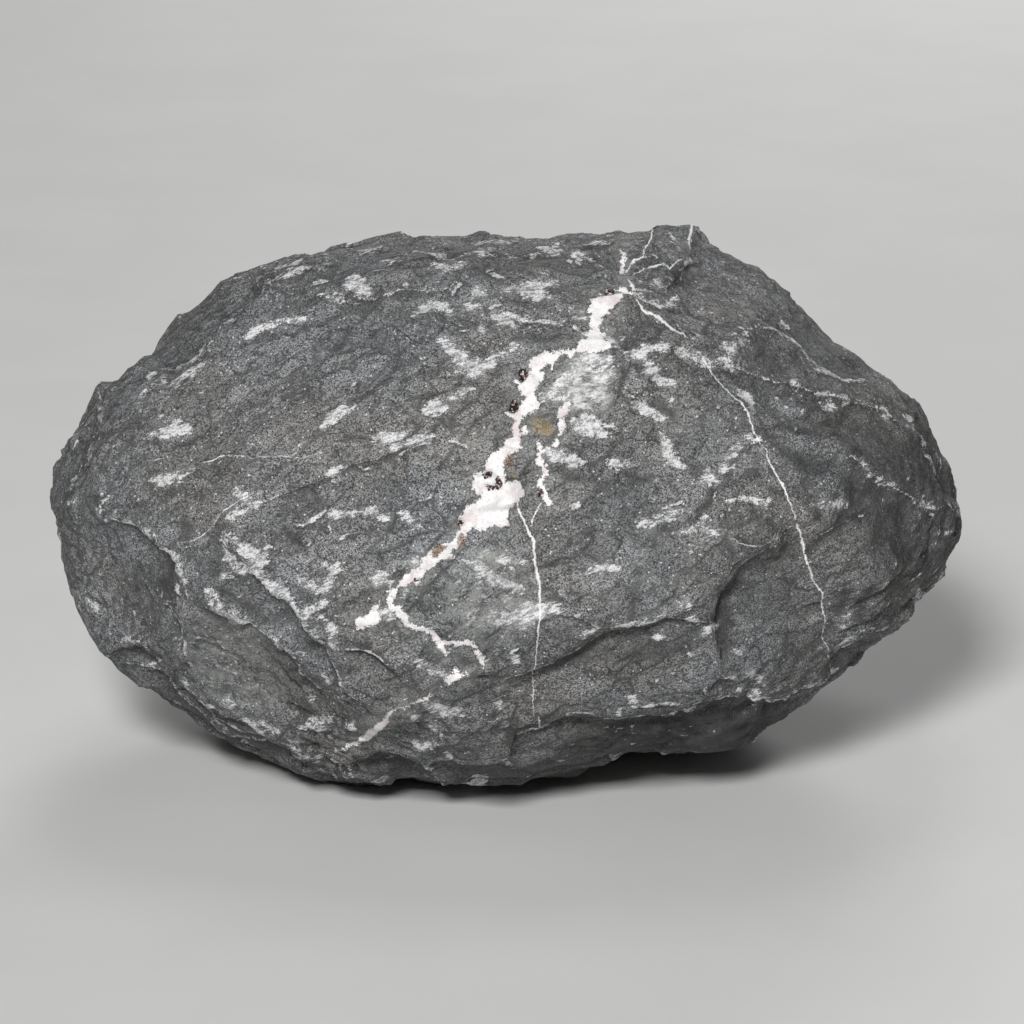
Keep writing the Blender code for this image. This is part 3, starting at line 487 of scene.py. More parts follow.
    [(612, 629, 3), (620, 627, 7), (630, 626, 6), (645, 625, 4), (652, 621, 4), (662, 616, 7)],
    [(688, 620, 4), (694, 621, 7), (698, 624, 4)], [(703, 635, 3), (709, 631, 6), (717, 626, 4)],
    [(656, 639, 4), (662, 637, 5), (669, 639, 2)], [(685, 646, 3), (687, 648, 4)],
    [(736, 651, 4), (739, 651, 5)], [(688, 655, 4), (692, 656, 4)], [(632, 699, 6), (636, 699, 6)],
    [(593, 678, 3), (596, 679, 3)], [(671, 673, 3), (676, 673, 3)], [(656, 681, 2), (661, 677, 2)],
    # right end
    [(736, 339, 4), (742, 341, 8), (744, 334, 7), (750, 330, 6), (757, 327, 5)],
    [(739, 327, 4), (744, 330, 3)],
    [(755, 318, 4), (762, 320, 5), (772, 323, 4), (782, 329, 4), (790, 335, 3), (796, 341, 4)],
    [(762, 326, 2), (772, 327, 3), (780, 331, 2)], [(758, 311, 2), (764, 317, 3)],
    [(779, 320, 2), (784, 321, 4), (792, 327, 3)],
    [(814, 368, 3), (820, 368, 4), (830, 373, 3), (841, 379, 3), (855, 381, 2.5), (868, 382, 3)],
    [(815, 394, 3), (826, 396, 4), (837, 397, 5), (849, 401, 4)], [(857, 399, 3), (864, 398, 2)],
    [(824, 405, 4), (829, 408, 8), (835, 406, 4)], [(841, 405, 3), (847, 405, 4)],
    [(866, 403, 2), (876, 406, 3), (885, 409, 8), (889, 416, 6)],
    [(881, 390, 2), (889, 394, 3), (897, 399, 2)],
    [(848, 455, 2), (859, 461, 2.5), (866, 471, 3), (876, 478, 6), (884, 483, 4), (896, 487, 3)],
    [(921, 438, 3), (927, 446, 5), (932, 455, 4)],
    [(926, 452, 3), (931, 461, 3), (936, 472, 3), (939, 478, 1.5)],
    [(942, 497, 2), (946, 503, 2.5), (951, 512, 1.5)],
    [(918, 501, 3), (926, 505, 8), (936, 506, 6), (941, 505, 3)], [(932, 512, 3), (934, 518, 3)],
    [(815, 506, 3), (826, 505, 5), (836, 504, 7), (846, 503, 4)],
    [(775, 538, 3), (780, 533, 3)], [(879, 615, 3), (887, 612, 5), (895, 609, 7), (901, 606, 4)],
    [(922, 590, 3), (918, 599, 3), (913, 607, 1.5)], [(902, 412, 3), (912, 421, 4)],
    # lower right
    [(840, 645, 3), (848, 641, 6), (857, 638, 5)], [(864, 634, 3), (877, 628, 2)],
    [(750, 673, 8), (755, 677, 7), (761, 681, 6), (765, 685, 4)],
    [(752, 697, 6), (759, 697, 8), (767, 701, 8)], [(775, 700, 3), (789, 703, 3)],
    [(787, 698, 4), (793, 693, 6), (797, 688, 3)], [(799, 688, 3), (811, 682, 3), (822, 677, 2.5)],
    [(734, 678, 4), (740, 682, 6)], [(740, 690, 4), (743, 693, 4)],
    [(833, 676, 5), (839, 673, 3)], [(704, 690, 4), (706, 692, 4)],
    # the low edge and the underside
    [(631, 707, 2.5), (645, 706, 3), (655, 705, 3), (670, 704, 4), (681, 705, 3)],
    [(618, 708, 3), (619, 713, 6)], [(566, 716, 3), (577, 713, 2.5), (594, 714, 2)],
    [(631, 742, 3), (634, 742, 3)], [(569, 745, 3), (575, 745, 3)], [(559, 761, 6), (563, 762, 6)],
    [(605, 760, 3), (612, 757, 6), (621, 755, 3)],
    [(720, 703, 1.5), (732, 701, 1.5), (745, 700, 1.5)], [(676, 716, 1.5), (697, 712, 1.5)],
    [(526, 773, 3), (532, 772, 5), (541, 768, 3)], [(460, 785, 2), (480, 783, 4), (489, 782, 4)],
    # bottom, left of the middle
    [(418, 664, 6), (423, 666, 9), (431, 670, 6), (439, 675, 4), (446, 680, 4)],
    [(346, 648, 2), (356, 650, 3), (366, 652, 3), (377, 658, 2), (388, 666, 2)],
    [(322, 676, 3), (329, 683, 5), (334, 690, 3)], [(309, 700, 4), (318, 700, 5), (325, 706, 4)],
    [(337, 696, 5), (341, 698, 6)], [(311, 723, 8), (319, 724, 12), (327, 722, 8)],
    [(325, 736, 3), (330, 741, 3)], [(352, 725, 5), (356, 726, 5)],
    [(425, 704, 4), (433, 708, 9), (444, 711, 12), (456, 711, 8), (461, 714, 5)],
    [(413, 715, 5), (418, 718, 6)], [(426, 722, 4), (432, 725, 8), (438, 729, 4)],
    [(440, 732, 3), (442, 744, 2)], [(413, 744, 4), (417, 750, 5), (424, 749, 5), (433, 747, 6)],
    [(445, 757, 4), (449, 759, 5)], [(488, 764, 3), (500, 761, 4), (511, 763, 3)],
    [(505, 727, 3), (510, 724, 4)], [(521, 734, 2.5), (528, 732, 3)], [(499, 702, 5), (501, 706, 6)],
    # lower left rim
    [(162, 671, 3), (168, 675, 6), (173, 681, 2)], [(180, 684, 3), (185, 690, 6), (189, 695, 2)],
    [(143, 664, 3), (148, 668, 5), (154, 671, 3)], [(158, 658, 2), (160, 662, 3)],
    [(196, 703, 4), (204, 708, 3), (213, 711, 4)], [(223, 705, 5), (229, 706, 7), (233, 705, 4)],
    [(227, 699, 5), (229, 701, 4)], [(213, 722, 5), (218, 728, 8), (222, 736, 3)],
    [(244, 724, 4), (252, 730, 10), (260, 736, 7)], [(262, 722, 3), (270, 728, 5), (279, 732, 3)],
    [(225, 726, 2), (237, 733, 2.5)], [(241, 747, 3), (248, 748, 6), (253, 748, 3)],
    [(284, 752, 3), (288, 754, 3)], [(290, 744, 3), (296, 749, 5), (299, 758, 3)],
    [(298, 728, 4), (308, 729, 3)], [(305, 767, 3), (316, 769, 8), (322, 774, 5)],
    [(345, 777, 5), (352, 781, 7), (358, 782, 4)], [(370, 783, 2), (382, 780, 3), (390, 780, 2)],
    [(334, 770, 3), (338, 774, 4)], [(332, 776, 3), (335, 781, 4)],
]

# ---- Soft patches: (x, y, length, width, turn, and a strength unless it is 1) ----------------
# A positive turn, in degrees, falls to the right. Places where the stone is smoother:
SMOOTH_PLACES = [
    (285, 372, 230, 120, -15), (112, 590, 80, 120, 20), (590, 690, 240, 60, -6),
    (765, 610, 80, 90, 0), (560, 640, 120, 60, 0), (640, 560, 120, 80, 0),
    (240, 660, 90, 60, 40), (820, 460, 60, 50, 0), (735, 285, 120, 60, 35),
    (800, 350, 130, 50, 42), (700, 450, 120, 90, 0), (230, 440, 200, 60, -10),
    (470, 425, 90, 50, -30), (610, 480, 90, 90, 0), (215, 500, 110, 60, 0),
    (450, 500, 60, 60, 0), (600, 590, 90, 60, 0), (890, 470, 70, 90, 0),
]

# Darker stone, and painted shade: the underside, both ends and shaded hollows such as the right scar
DARK_AND_SHADED_PLACES = [
    (930, 510, 80, 190, 0, 0.50), (885, 455, 70, 70, 0, 0.35), (640, 737, 260, 40, -6, 0.55),
    (545, 766, 240, 30, -8, 0.45), (75, 520, 40, 130, 0, 0.20), (815, 462, 44, 16, 0, 0.40),
    (752, 412, 22, 70, 0, 0.35), (128, 650, 44, 12, 0, 0.40), (385, 766, 60, 24, 0, 0.60),
    (640, 648, 130, 26, -10, 0.45), (684, 273, 38, 24, 0, 0.45), (780, 350, 70, 34, -30, 0.30),
    (150, 590, 60, 60, 50, 0.35), (730, 640, 30, 60, 0, 0.35), (895, 590, 24, 20, 0, 0.35),
    (404, 293, 30, 14, 0, 0.45), (462, 324, 26, 16, -20, 0.40), (535, 304, 36, 16, 15, 0.35),
    (385, 484, 34, 26, 30, 0.35), (370, 452, 12, 20, 10, 0.40), (345, 455, 40, 14, 10, 0.30),
    (390, 372, 40, 20, -20, 0.25), (215, 560, 14, 44, 0, 0.30), (265, 515, 30, 20, 0, 0.25),
    (700, 375, 60, 30, 0, 0.20), (762, 395, 20, 60, 0, 0.30), (765, 585, 90, 70, -40, 0.28),
    (800, 645, 80, 60, 0, 0.30), (790, 670, 40, 40, 0, 0.25), (850, 600, 20, 40, 20, 0.30),
    (577, 592, 16, 20, 0, 0.35), (428, 396, 20, 8, 0, 0.50), (700, 730, 120, 50, -15, 0.40),
    (500, 740, 120, 30, -10, 0.30), (860, 660, 120, 30, -30, 0.40), (108, 410, 14, 60, 20, 0.25),
    (190, 320, 90, 30, -40, 0.30), (820, 350, 110, 30, 45, 0.35), (85, 460, 24, 90, 20, 0.30),
    (690, 734, 300, 46, -6, 0.95), (905, 500, 120, 190, 0, 0.62), (580, 768, 280, 30, -6, 0.65),
    (840, 690, 130, 40, -30, 0.35), (280, 665, 30, 70, -35, 0.30), (430, 272, 110, 24, 0, 0.30),
    (820, 380, 150, 80, 35, 0.35), (500, 262, 330, 30, 0, 0.35), (330, 285, 150, 30, -20, 0.35),
]

# Faint pale haze
HAZES = [
    (584, 386, 66, 62, -30, 1.3), (600, 368, 40, 26, -20), (588, 428, 30, 24, 0),
    (381, 579, 18, 16, 0), (406, 592, 14, 15, 0), (415, 561, 14, 12, 0),
    (387, 615, 16, 12, 0), (495, 558, 60, 22, 10), (525, 615, 60, 30, -15),
    (448, 650, 10, 14, 50), (476, 522, 10, 14, 0), (556, 390, 40, 26, -40),
    (470, 440, 60, 50, -40, 0.4), (490, 600, 110, 90, 0, 0.8), (645, 560, 150, 130, 0, 0.35),
    (230, 665, 130, 90, 40, 0.6), (690, 440, 120, 120, 0, 0.3),
]

# ---- Pits and stains: (x, y, width, height, turn, strength) ----------------------------------
VUGS = {
    "top": (609, 293, 12, 7, 0, 1.0),
    "upper": (524, 374, 8, 12, 20, 1.0),
    "middle": (514, 406, 9, 12, 20, 1.0),
    "large_right": (498, 483, 9, 14, 10, 1.0),
    "large_left": (487, 474, 11, 8, -20, 0.9),
    "large_foot": (491, 488, 10, 6, 10, 0.8),
    "lower": (461, 522, 7, 5, 0, 1.0),
    "tail": (418, 579, 7, 4, 0, 0.8),
    "right": (540, 492, 8, 6, 0, 0.8),
}
RUSTS = {
    "pinkish": (509, 462, 12, 18, 15, 1.0),
    "tan": (462, 540, 12, 12, 0, 0.8),
    "tan_brown": (440, 549, 22, 11, -20, 1.1),
    "loop": (383, 603, 6, 13, 0, 0.6),
    "red_spot_left": (402, 478, 6, 3, 0, 0.8),
    "red_spot_crack": (384, 491, 5, 3, 0, 0.5),
    "red_spot_top": (432, 411, 4, 4, 0, 0.5),
    "top_right_tint": (684, 333, 6, 4, 0, 0.4),
}
OCHRES = {
    "patch": (541, 426, 24, 26, 0, 0.8),
    "patch_core": (547, 430, 13, 14, 0, 1.0),
    "olive": (514, 477, 12, 7, 0, 0.9),
    "hairline": (517, 512, 6, 8, 0, 0.7),
    "below_vug": (548, 500, 10, 6, 0, 0.4),
    "pinkish_white": (546, 441, 10, 8, 0, 0.3),
}

# ---- The far side, which the photograph doesn't show -----------------------------------------
# The vein comes over the top and runs through the stone to its foot
BACK_VEIN = [(652, 226, 4), (642, 262, 6), (622, 318, 9), (584, 372, 13), (560, 430, 18),
             (520, 486, 16), (470, 540, 13), (436, 604, 10), (398, 660, 8), (352, 716, 6),
             (318, 790, 4)]
BACK_BRANCH = [(691, 229, 4), (700, 300, 4), (688, 380, 5), (712, 452, 4), (704, 530, 3)]
BACK_VEIN_STRIDE = 6.0              # pixels between points once it is made ragged
BACK_VEIN_WANDER = 7.0              # pixels
BACK_VEIN_WIDTH = (0.55, 1.4)       # how many times its width above
DRIFT_KEPT = 0.75                   # the share of a stray that the next point inherits
DRIFT_DOWN = 0.6                    # how far a point strays downwards for each pixel sideways
BACK_AREA = ((110, 290), (900, 730))
BACK_LINES = 12
BACK_LINE_POINTS = 8
BACK_LINE_STRIDE = 17.0             # pixels
BACK_LINE_TURN = 0.35               # radians
BACK_LINE_WIDTH = 2.4               # pixels
LINE_SWELL = (0.6, 1.3)             # how many times its width a line is from point to point
BACK_LEDGES = 14
BACK_LEDGE_DROP = (0.5, 1.3)        # mm
BACK_LEDGE_WIDTH = 2.0              # pixels, of its bruised edge
BACK_LEDGE_SHADE = (0.4, 0.9)
BACK_SCUFFS = 150
# Stray folds of painted shade on the far side
BACK_FOLDS = 70
STROKE_REACH = (4, 18)              # pixels from the middle of a stray scuff or fold to its end
STROKE_WIDTH = (3, 9)               # pixels
STROKE_TURN = 0.5                   # radians, how much its direction strays
STROKE_SHAPE = ((-1.0, 0.5), (0.0, 1.2), (1.0, 0.6))  # how far along, how many times its width

# ---- Colours, in linear light ----------------------------------------------------------------
DARK_GRAIN = (0.024, 0.023, 0.022, 1.0)
LIGHT_GRAIN = (0.283, 0.287, 0.294, 1.0)
# Mostly painted shade: below ledges and bruised lines, in hollows, creases and folds, and on the
# underside and ends; also darker stone and the patchy dark rim beside the vein
SHADE_AND_DIRT = (0.030, 0.030, 0.031, 1.0)
SPECK_BLACK = (0.020, 0.020, 0.021, 1.0)
# Painted glints: tiny pale dots in the colour
SPARKLE = (0.72, 0.73, 0.75, 1.0)
GREENISH = (0.345, 0.355, 0.330, 1.0)
SCUFF = (0.28, 0.28, 0.29, 1.0)
SCUFF_BRIGHT = (0.84, 0.83, 0.83, 1.0)
VEIN_WHITE = (0.88, 0.86, 0.86, 1.0)
VEIN_PINK = (0.72, 0.62, 0.62, 1.0)
VEIN_GREY = (0.56, 0.55, 0.55, 1.0)
RUST_DARK = (0.028, 0.012, 0.010, 1.0)
VUG_BLACK = (0.010, 0.007, 0.006, 1.0)
RUST_TAN = (0.36, 0.235, 0.14, 1.0)
OCHRE = (0.40, 0.29, 0.13, 1.0)
# Painted shade in cracks and gaps
CRACK_SHADE = (0.035, 0.035, 0.037, 1.0)
CRYSTAL_DARK = (0.035, 0.014, 0.012, 1.0)
CRYSTAL_LIGHT = (0.17, 0.085, 0.065, 1.0)
CRYSTAL_PALE = (0.60, 0.53, 0.50, 1.0)
FLOOR_PALE = (0.68, 0.677, 0.670, 1.0)

COOL_TINT = (0.965, 1.0, 1.040, 1.0)
WARM_TINT = (1.050, 1.0, 0.950, 1.0)
BRIGHTNESS = (0.74, 1.26)           # of the darkest and the palest mottles

# How strongly each layer covers what lies below it, from 0 to 1
COVER = {
    # sparkles are painted glints; hollows, below ledges, creases, face creases and line shade are
    # painted shade
    "sparkles": 0.95,
    "hollows": 0.60,
    "below ledges": 0.70,
    "creases": 0.60,
    "faint face creases": 0.20,
    "face creases": 0.85,
    "beside the vein": 0.50,
    "haze": 0.92,
    "haze fibres": 0.75,
    "dust": 0.22,
    "scuffs": 0.85,
    "line shade": 0.60,
    "mineral lines": 0.95,
    "bruised lines": 0.85,
    "vein dirt": 0.60,
    "vein pink": 0.90,
    "vein grey": 0.55,
    "ochre": 0.75,
    "rust": 0.90,
}

# ---- Textures: size in mm, detail, roughness and, if drawn out along the streaks, how far ----
TEXTURES = {
    "grains": (0.24, 0.0, 0.5),
    "clumps": (2.2, 1.0, 0.6),
    "mottle": (24.0, 2.0, 0.5),
    "bands": (4.0, 2.0, 0.5, 5.0),
    "hues": (30.0, 2.0, 0.5),
    "bends": (6.0, 1.5, 0.5),
    "creases": (10.0, 2.5, 0.55, 1.8),
    "haze patches": (4.0, 3.0, 0.6),
    "haze grains": (0.4, 2.0, 0.7),
    "worn patches": (9.0, 3.0, 0.6),
    "fibres": (0.55, 3.0, 0.7, 3.5),
    "stipple": (0.34, 2.0, 0.8),
    "flakes": (1.6, 2.0, 0.6, 2.0),
    "line strays": (1.4, 3.0, 0.65),
    "vein edge": (2.6, 2.0, 0.6),
    "vein edge, finer": (0.9, 2.0, 0.7),
    "vein dirt": (3.5, 2.0, 0.6),
    "vein pink": (4.5, 3.0, 0.7),
    "vein grey": (0.9, 3.0, 0.7),
    "blotches": (0.6, 3.0, 0.8),
    "rust shades": (0.45, 2.0, 0.7),
    "vug lining": (0.8, 2.0, 0.7),
    "vug glints": (0.9, 1.0, 0.5),
    "chips": (3.4, 1.5, 0.55, 1.6),
    "grit": (0.30, 0.0, 0.5),
    "lumps": (1.2, 1.0, 0.5),
    "crystal shades": (0.5, 2.0, 0.7),
    "floor": (60.0, 3.0, 0.5),
}
STREAK_TURN = -0.35                 # radians: scuffs and grain rise to the right
GRAIN = 0.32                        # mm, one grain of the stone
SPECKS = (3.0, 0.22, 5.0)           # mm, spacing, radius and shift of the black specks
# Painted glints
SPARKLES = (1.9, 0.26)              # mm, spacing and radius
FACE_SIZE = 8.0                     # mm, the small broken faces
FACE_STRETCH = 1.8                  # how far they are drawn out along the streaks
FACE_BEND = 7.0                     # mm, how far their edges stray
FACE_CREASE = 0.11                  # half the width of the creases between them, in face sizes
CRUMBLE = 13.0                      # pixels, how far the edges of scuffs are broken up
LINE_STRAY = 5.0                    # pixels, how far thin lines wander
LINE_SHADE_RUN = (4.5, 0.5)         # pixels below a bruised line where its shade ends and is full
BESIDE_VEIN = -22.0                 # pixels from the vein where the pale rock beside it ends
BUMP_DEPTH = 0.22                   # mm, of the finest roughness
ROUGHNESS = {"stone": 0.78, "vein": 0.60, "crystal": 0.38, "floor": 0.90}
STONE_SPECULAR = 0.35

# ---- Crystals in the vugs --------------------------------------------------------------------
CRYSTAL_SIZE = (0.25, 0.65)         # mm across
CRYSTALS_PER_AREA = 0.11            # for each square pixel of vug
CRYSTALS_AT_LEAST = 3               # and this many more in each vug
CRYSTAL_SPREAD = 0.48               # the share of a vug's size within which they stand
CRYSTAL_SIDES = 6
CRYSTAL_STRETCH = (0.8, 1.6)        # length of the straight part for each unit of width
CRYSTAL_TIP = 1.7                   # how much further out than the straight part the tips are
CRYSTAL_LEAN = 0.9                  # radians

# ---- Light and floor -------------------------------------------------------------------------
# Each lamp is (place in metres, side of its square in metres, watts)
LAMPS = {
    "key": ((-0.33, -1.86, 1.42), 0.45, 52.0),
    "top": ((0.05, 0.45, 1.30), 0.50, 2.0),
    "back": ((0.40, 1.60, 0.90), 0.70, 11.0),
}
WORLD = (0.80, 0.81, 0.82, 1.0)
WORLD_STRENGTH = 0.07
FLOOR_SIDE = 8.0                    # metres
FLOOR_QUADS = 8                     # along each side
FLOOR_SHADES = (0.97, 1.0)


# ---- Places in the picture -------------------------------------------------------------------
def picture_places(points):
    """Where each point of the scene is seen in the photograph, in pixels."""
    offset = points - np.array(EYE)
    depth = -(offset @ np.array(TOWARD))
    across = offset @ np.array(RIGHT) / depth
    up = offset @ np.array(UP) / depth
    return PICTURE / 2 + FOCAL * np.column_stack([across, -up])


def sight_line(x, y):
    """Direction from the camera through a pixel."""
    return (RIGHT * (x - PICTURE / 2) - UP * (y - PICTURE / 2) - TOWARD * FOCAL).normalized()


def smooth_step(low, high, value):
    """0 at low, 1 at high, and a smooth rise between them."""
    share = np.clip((value - low) / (high - low), 0.0, 1.0)
    return share * share * (3 - 2 * share)


def nearby(places, line, reach):
    """Indices of the places within reach of the box around a line."""
    corners = np.array([point[:2] for point in line], dtype=float)
    low, high = corners.min(axis=0) - reach, corners.max(axis=0) + reach
    return np.flatnonzero(((places >= low) & (places <= high)).all(axis=1))


def milestones(line):
    """How far along a broken line each of its points is."""
    corners = np.array([point[:2] for point in line], dtype=float)
    return np.concatenate([[0.0], np.cumsum(np.hypot(*np.diff(corners, axis=0).T))])


def points_along(line, stops):
    """The x, y and width of a broken line at each of some distances along it."""
    marks = milestones(line)
    return [np.interp(stops, marks, column) for column in np.array(line, dtype=float).T]


def follow(places, line):
    """How far each place is from a broken line, on which side, and how far along it.

    The side is 1 to the right of travel as seen in the picture, and -1 to the left.
    """
    corners = np.array([point[:2] for point in line], dtype=float)
    gap = np.full(len(places), np.inf)
    side = np.ones(len(places))
    along = np.zeros(len(places))
    for start, end, passed in zip(corners[:-1], corners[1:], milestones(line)):
        length = np.linalg.norm(end - start)
        heading = (end - start) / length
        offset = places - start
        travel = np.clip(offset @ heading, 0.0, length)
        distance = np.linalg.norm(offset - travel[:, None] * heading, axis=1)
        hand = np.where(heading[0] * offset[:, 1] > heading[1] * offset[:, 0], 1.0, -1.0)
        closer = distance < gap
        gap = np.where(closer, distance, gap)
        side = np.where(closer, hand, side)
        along = np.where(closer, passed + travel, along)
    return gap, side, along


def is_inside(places, outline):
    """Whether each place lies inside a closed outline."""
    x, y = places.T
    inside = np.zeros(len(places), dtype=bool)
    for (start_x, start_y), (end_x, end_y) in zip(outline, outline[1:] + outline[:1]):
        if start_y != end_y:
            meets = start_x + (y - start_y) * (end_x - start_x) / (end_y - start_y)
            inside ^= ((start_y > y) != (end_y > y)) & (x < meets)
    return inside


# ---- Marks, worked out per place -------------------------------------------------------------
def mark_depth(places, outlines, strokes):
    """Distance to the edge of the nearest outline or stroke in pixels, positive inside it."""
    deepest = np.full(len(places), -2.0 * CLOSE_TO_VEIN)
    for outline in outlines:
        rows = nearby(places, outline, 2 * CLOSE_TO_VEIN)
        gap, _, _ = follow(places[rows], outline + outline[:1])
        depth = np.where(is_inside(places[rows], outline), gap, -gap)
        deepest[rows] = np.maximum(deepest[rows], depth)
    for line in strokes:
        rows = nearby(places, line, 2 * CLOSE_TO_VEIN)
        gap, _, along = follow(places[rows], line)
        _, _, width = points_along(line, along)
        deepest[rows] = np.maximum(deepest[rows], width / 2 - gap)
    return deepest


def warped(places, points, size, amount):
    """Places moved about by noise, so that what is drawn there has an irregular outline."""
    in_sizes = points / (size * MM)
    shifts = [[noise.noise(Vector(p) + shift) for p in in_sizes]
              for shift in (Vector((3.1, 0, 0)), Vector((0, 8.3, 0)))]
    return places + amount * np.array(shifts).T


def patch_strength(places, patches):
    """How strongly each place lies in any of the soft patches, from 0 to 1."""
    strength = np.zeros(len(places))
    for x, y, length, width, turn, *weight in patches:
        angle = math.radians(turn)
        offset = places - (x, y)
        along = offset @ (math.cos(angle), math.sin(angle)) / (length / 2)
        across = offset @ (-math.sin(angle), math.cos(angle)) / (width / 2)
        soft = smooth_step(*PATCH_EDGE, np.hypot(along, across))
        strength = np.maximum(strength, soft * (weight[0] if weight else 1.0))
    return strength


def keep_clear(line, other):
    """Whether two lines are far enough apart to share a channel."""
    x, y, _ = points_along(line, np.arange(0.0, milestones(line)[-1], LINE_SAMPLES))
    gap, _, _ = follow(np.column_stack([x, y]), other)
    return gap.min() > LINE_CLEARANCE


def share_out(lines):
    """Share (tone, line) pairs out over the channels, so that none crosses its neighbours."""
    channels = [[] for _ in range(LINE_CHANNELS)]
    for tone, line in lines:
        free = [channel for channel in channels
                if all(keep_clear(line, other) for _, other in channel)]
        free[0].append((tone, line))
    return channels


def draw_lines(places, lines):
    """For each place: signed distance to the nearest line's middle, its half-width and tone."""
    drawn = np.empty((len(places), 3))
    drawn[:] = (2 * LINE_REACH, LINE_ABSENT, 0.0)
    nearest = np.full(len(places), np.inf)
    for tone, line in lines:
        rows = nearby(places, line, LINE_CLEARANCE / 2)
        gap, side, along = follow(places[rows], line)
        _, _, width = points_along(line, along)
        past_end = np.where((along <= 0) | (along >= milestones(line)[-1]), gap, 0.0)
        half = width / 2 - past_end - np.maximum(gap - LINE_REACH, 0.0)
        closer = (gap < nearest[rows]) & (gap < LINE_CLEARANCE / 2)
        rows, gap = rows[closer], gap[closer]
        nearest[rows] = gap
        drawn[rows] = np.column_stack([gap * side[closer], half[closer], np.full(len(rows), tone)])
    return drawn


def ledge_fields(places, ledges):
    """Height of the ledges' steps in mm, and strength of the shade painted below them."""
    height = np.zeros(len(places))
    shade = np.zeros(len(places))
    for drop, _, darkness, line in ledges:
        rows = nearby(places, line, 4 * STEP_RUN)
        gap, side, along = follow(places[rows], line)
        taper = np.clip(np.sin(np.pi * along / milestones(line)[-1]), 0.0, 1.0) ** 0.5
        below = np.where(side > 0, taper * smooth_step(0.0, STEP_WIDTH, gap), 0.0)
        height[rows] -= drop * below * np.exp(-(gap / STEP_RUN) ** 1.5)
        # Painted shade below the ledge
        shade[rows] += darkness * below * np.exp(-gap / STEP_RUN)
    return height, np.minimum(shade, 1.0)


# ---- The far side ----------------------------------------------------------------------------
def wander(line, rng, stride, amount):
    """A broken line with a point every stride, each moved aside at random."""
    length = milestones(line)[-1]
    drift = 0.0
    ragged = []
    for x, y, width in zip(*points_along(line, np.linspace(0.0, length, int(length / stride) + 2))):
        drift = DRIFT_KEPT * drift + rng.gauss(0, amount / 2)
        ragged.append((x + drift, y + DRIFT_DOWN * drift, width * rng.uniform(*BACK_VEIN_WIDTH)))
    return ragged


def stray_line(rng, area, width):
    """A line that strays across part of the far side."""
    (left, top), (right, bottom) = area
    heading = rng.uniform(0, 2 * math.pi)
    x, y = rng.uniform(left, right), rng.uniform(top, bottom)
    line = []
    for _ in range(BACK_LINE_POINTS):
        line.append((x, y, width * rng.uniform(*LINE_SWELL)))
        heading += rng.gauss(0, BACK_LINE_TURN)
        x += BACK_LINE_STRIDE * math.cos(heading)
        y += BACK_LINE_STRIDE * math.sin(heading)
    return line


def stray_stroke(rng, area):
    """A short ragged stroke somewhere on the far side, which mostly rises to the right."""
    (left, top), (right, bottom) = area
    x, y = rng.uniform(left, right), rng.uniform(top, bottom)
    reach = rng.uniform(*STROKE_REACH)
    turn = rng.gauss(STREAK_TURN, STROKE_TURN)
    width = rng.uniform(*STROKE_WIDTH)
    return [(x + along * reach * math.cos(turn), y + along * reach * math.sin(turn), width * share)
            for along, share in STROKE_SHAPE]


def far_side():
    """The marks of the side that the photograph doesn't show."""
    rng = random.Random(SEED)
    veins = [wander(line, rng, BACK_VEIN_STRIDE, BACK_VEIN_WANDER)
             for line in (BACK_VEIN, BACK_BRANCH)]
    lines = [(MINERAL, stray_line(rng, BACK_AREA, BACK_LINE_WIDTH)) for _ in range(BACK_LINES)]
    ledges = [(rng.uniform(*BACK_LEDGE_DROP), BACK_LEDGE_WIDTH, rng.uniform(*BACK_LEDGE_SHADE),
               stray_line(rng, BACK_AREA, BACK_LEDGE_WIDTH)) for _ in range(BACK_LEDGES)]
    edges = [(BRUISED, line) for _, _, _, line in ledges]
    return {
        "outlines": [],
        "stretches": veins,
        "scuffs": [stray_stroke(rng, BACK_AREA) for _ in range(BACK_SCUFFS)],
        "folds": [stray_stroke(rng, BACK_AREA) for _ in range(BACK_FOLDS)],
        "ledges": ledges,
        "channels": [lines, edges] + [[]] * (LINE_CHANNELS - 2),
        "patches": dict.fromkeys(PATCH_FIELDS, []),
    }


def near_side():
    """The marks of the side that the photograph shows."""
    edges = [(BRUISED, [(x, y, width) for x, y in line])
             for _, width, _, line in LEDGES.values()]
    thin = [line for line in SCUFFS if max(point[2] for point in line) <= THIN]
    lines = ([(MINERAL, line) for line in HAIRLINES.values()] + edges
             + [(CRACK, line) for line in CRACKS.values()] + [(BRUISED, line) for line in thin])
    return {
        "outlines": list(VEIN_OUTLINES.values()),
        "stretches": list(VEIN_STRETCHES.values()),
        "scuffs": [line for line in SCUFFS if line not in thin],
        "folds": FOLDS,
        "ledges": LEDGES.values(),
        "channels": share_out(lines),
        "patches": {"smooth": SMOOTH_PLACES, "dark": DARK_AND_SHADED_PLACES, "haze": HAZES,
                    "vug": VUGS.values(), "rust": RUSTS.values(), "ochre": OCHRES.values()},
    }


def mark_fields(places, points, marks):
    """What one side's marks give each place, as named columns."""
    height, shade = ledge_fields(places, marks["ledges"])
    fields = {
        "height": height,
        "ledge_shade": shade,
        "vein": mark_depth(places, marks["outlines"], marks["stretches"]),
        "scuff": mark_depth(warped(places, points, *SCUFF_WARP), [], marks["scuffs"]),
    }
    strayed = warped(places, points, *PATCH_WARP)
    for name in PATCH_FIELDS:
        fields[name] = patch_strength(strayed, marks["patches"][name])
    # Painted shade in the folds, added to the darker places
    folded = smooth_step(-FOLD_SOFTNESS, FOLD_SOFTNESS, mark_depth(places, [], marks["folds"]))
    fields["dark"] = np.maximum(fields["dark"], FOLD_DARKNESS * folded)
    for number, lines in enumerate(marks["channels"]):
        fields[f"lines_{number}"] = draw_lines(places, lines)
    return fields


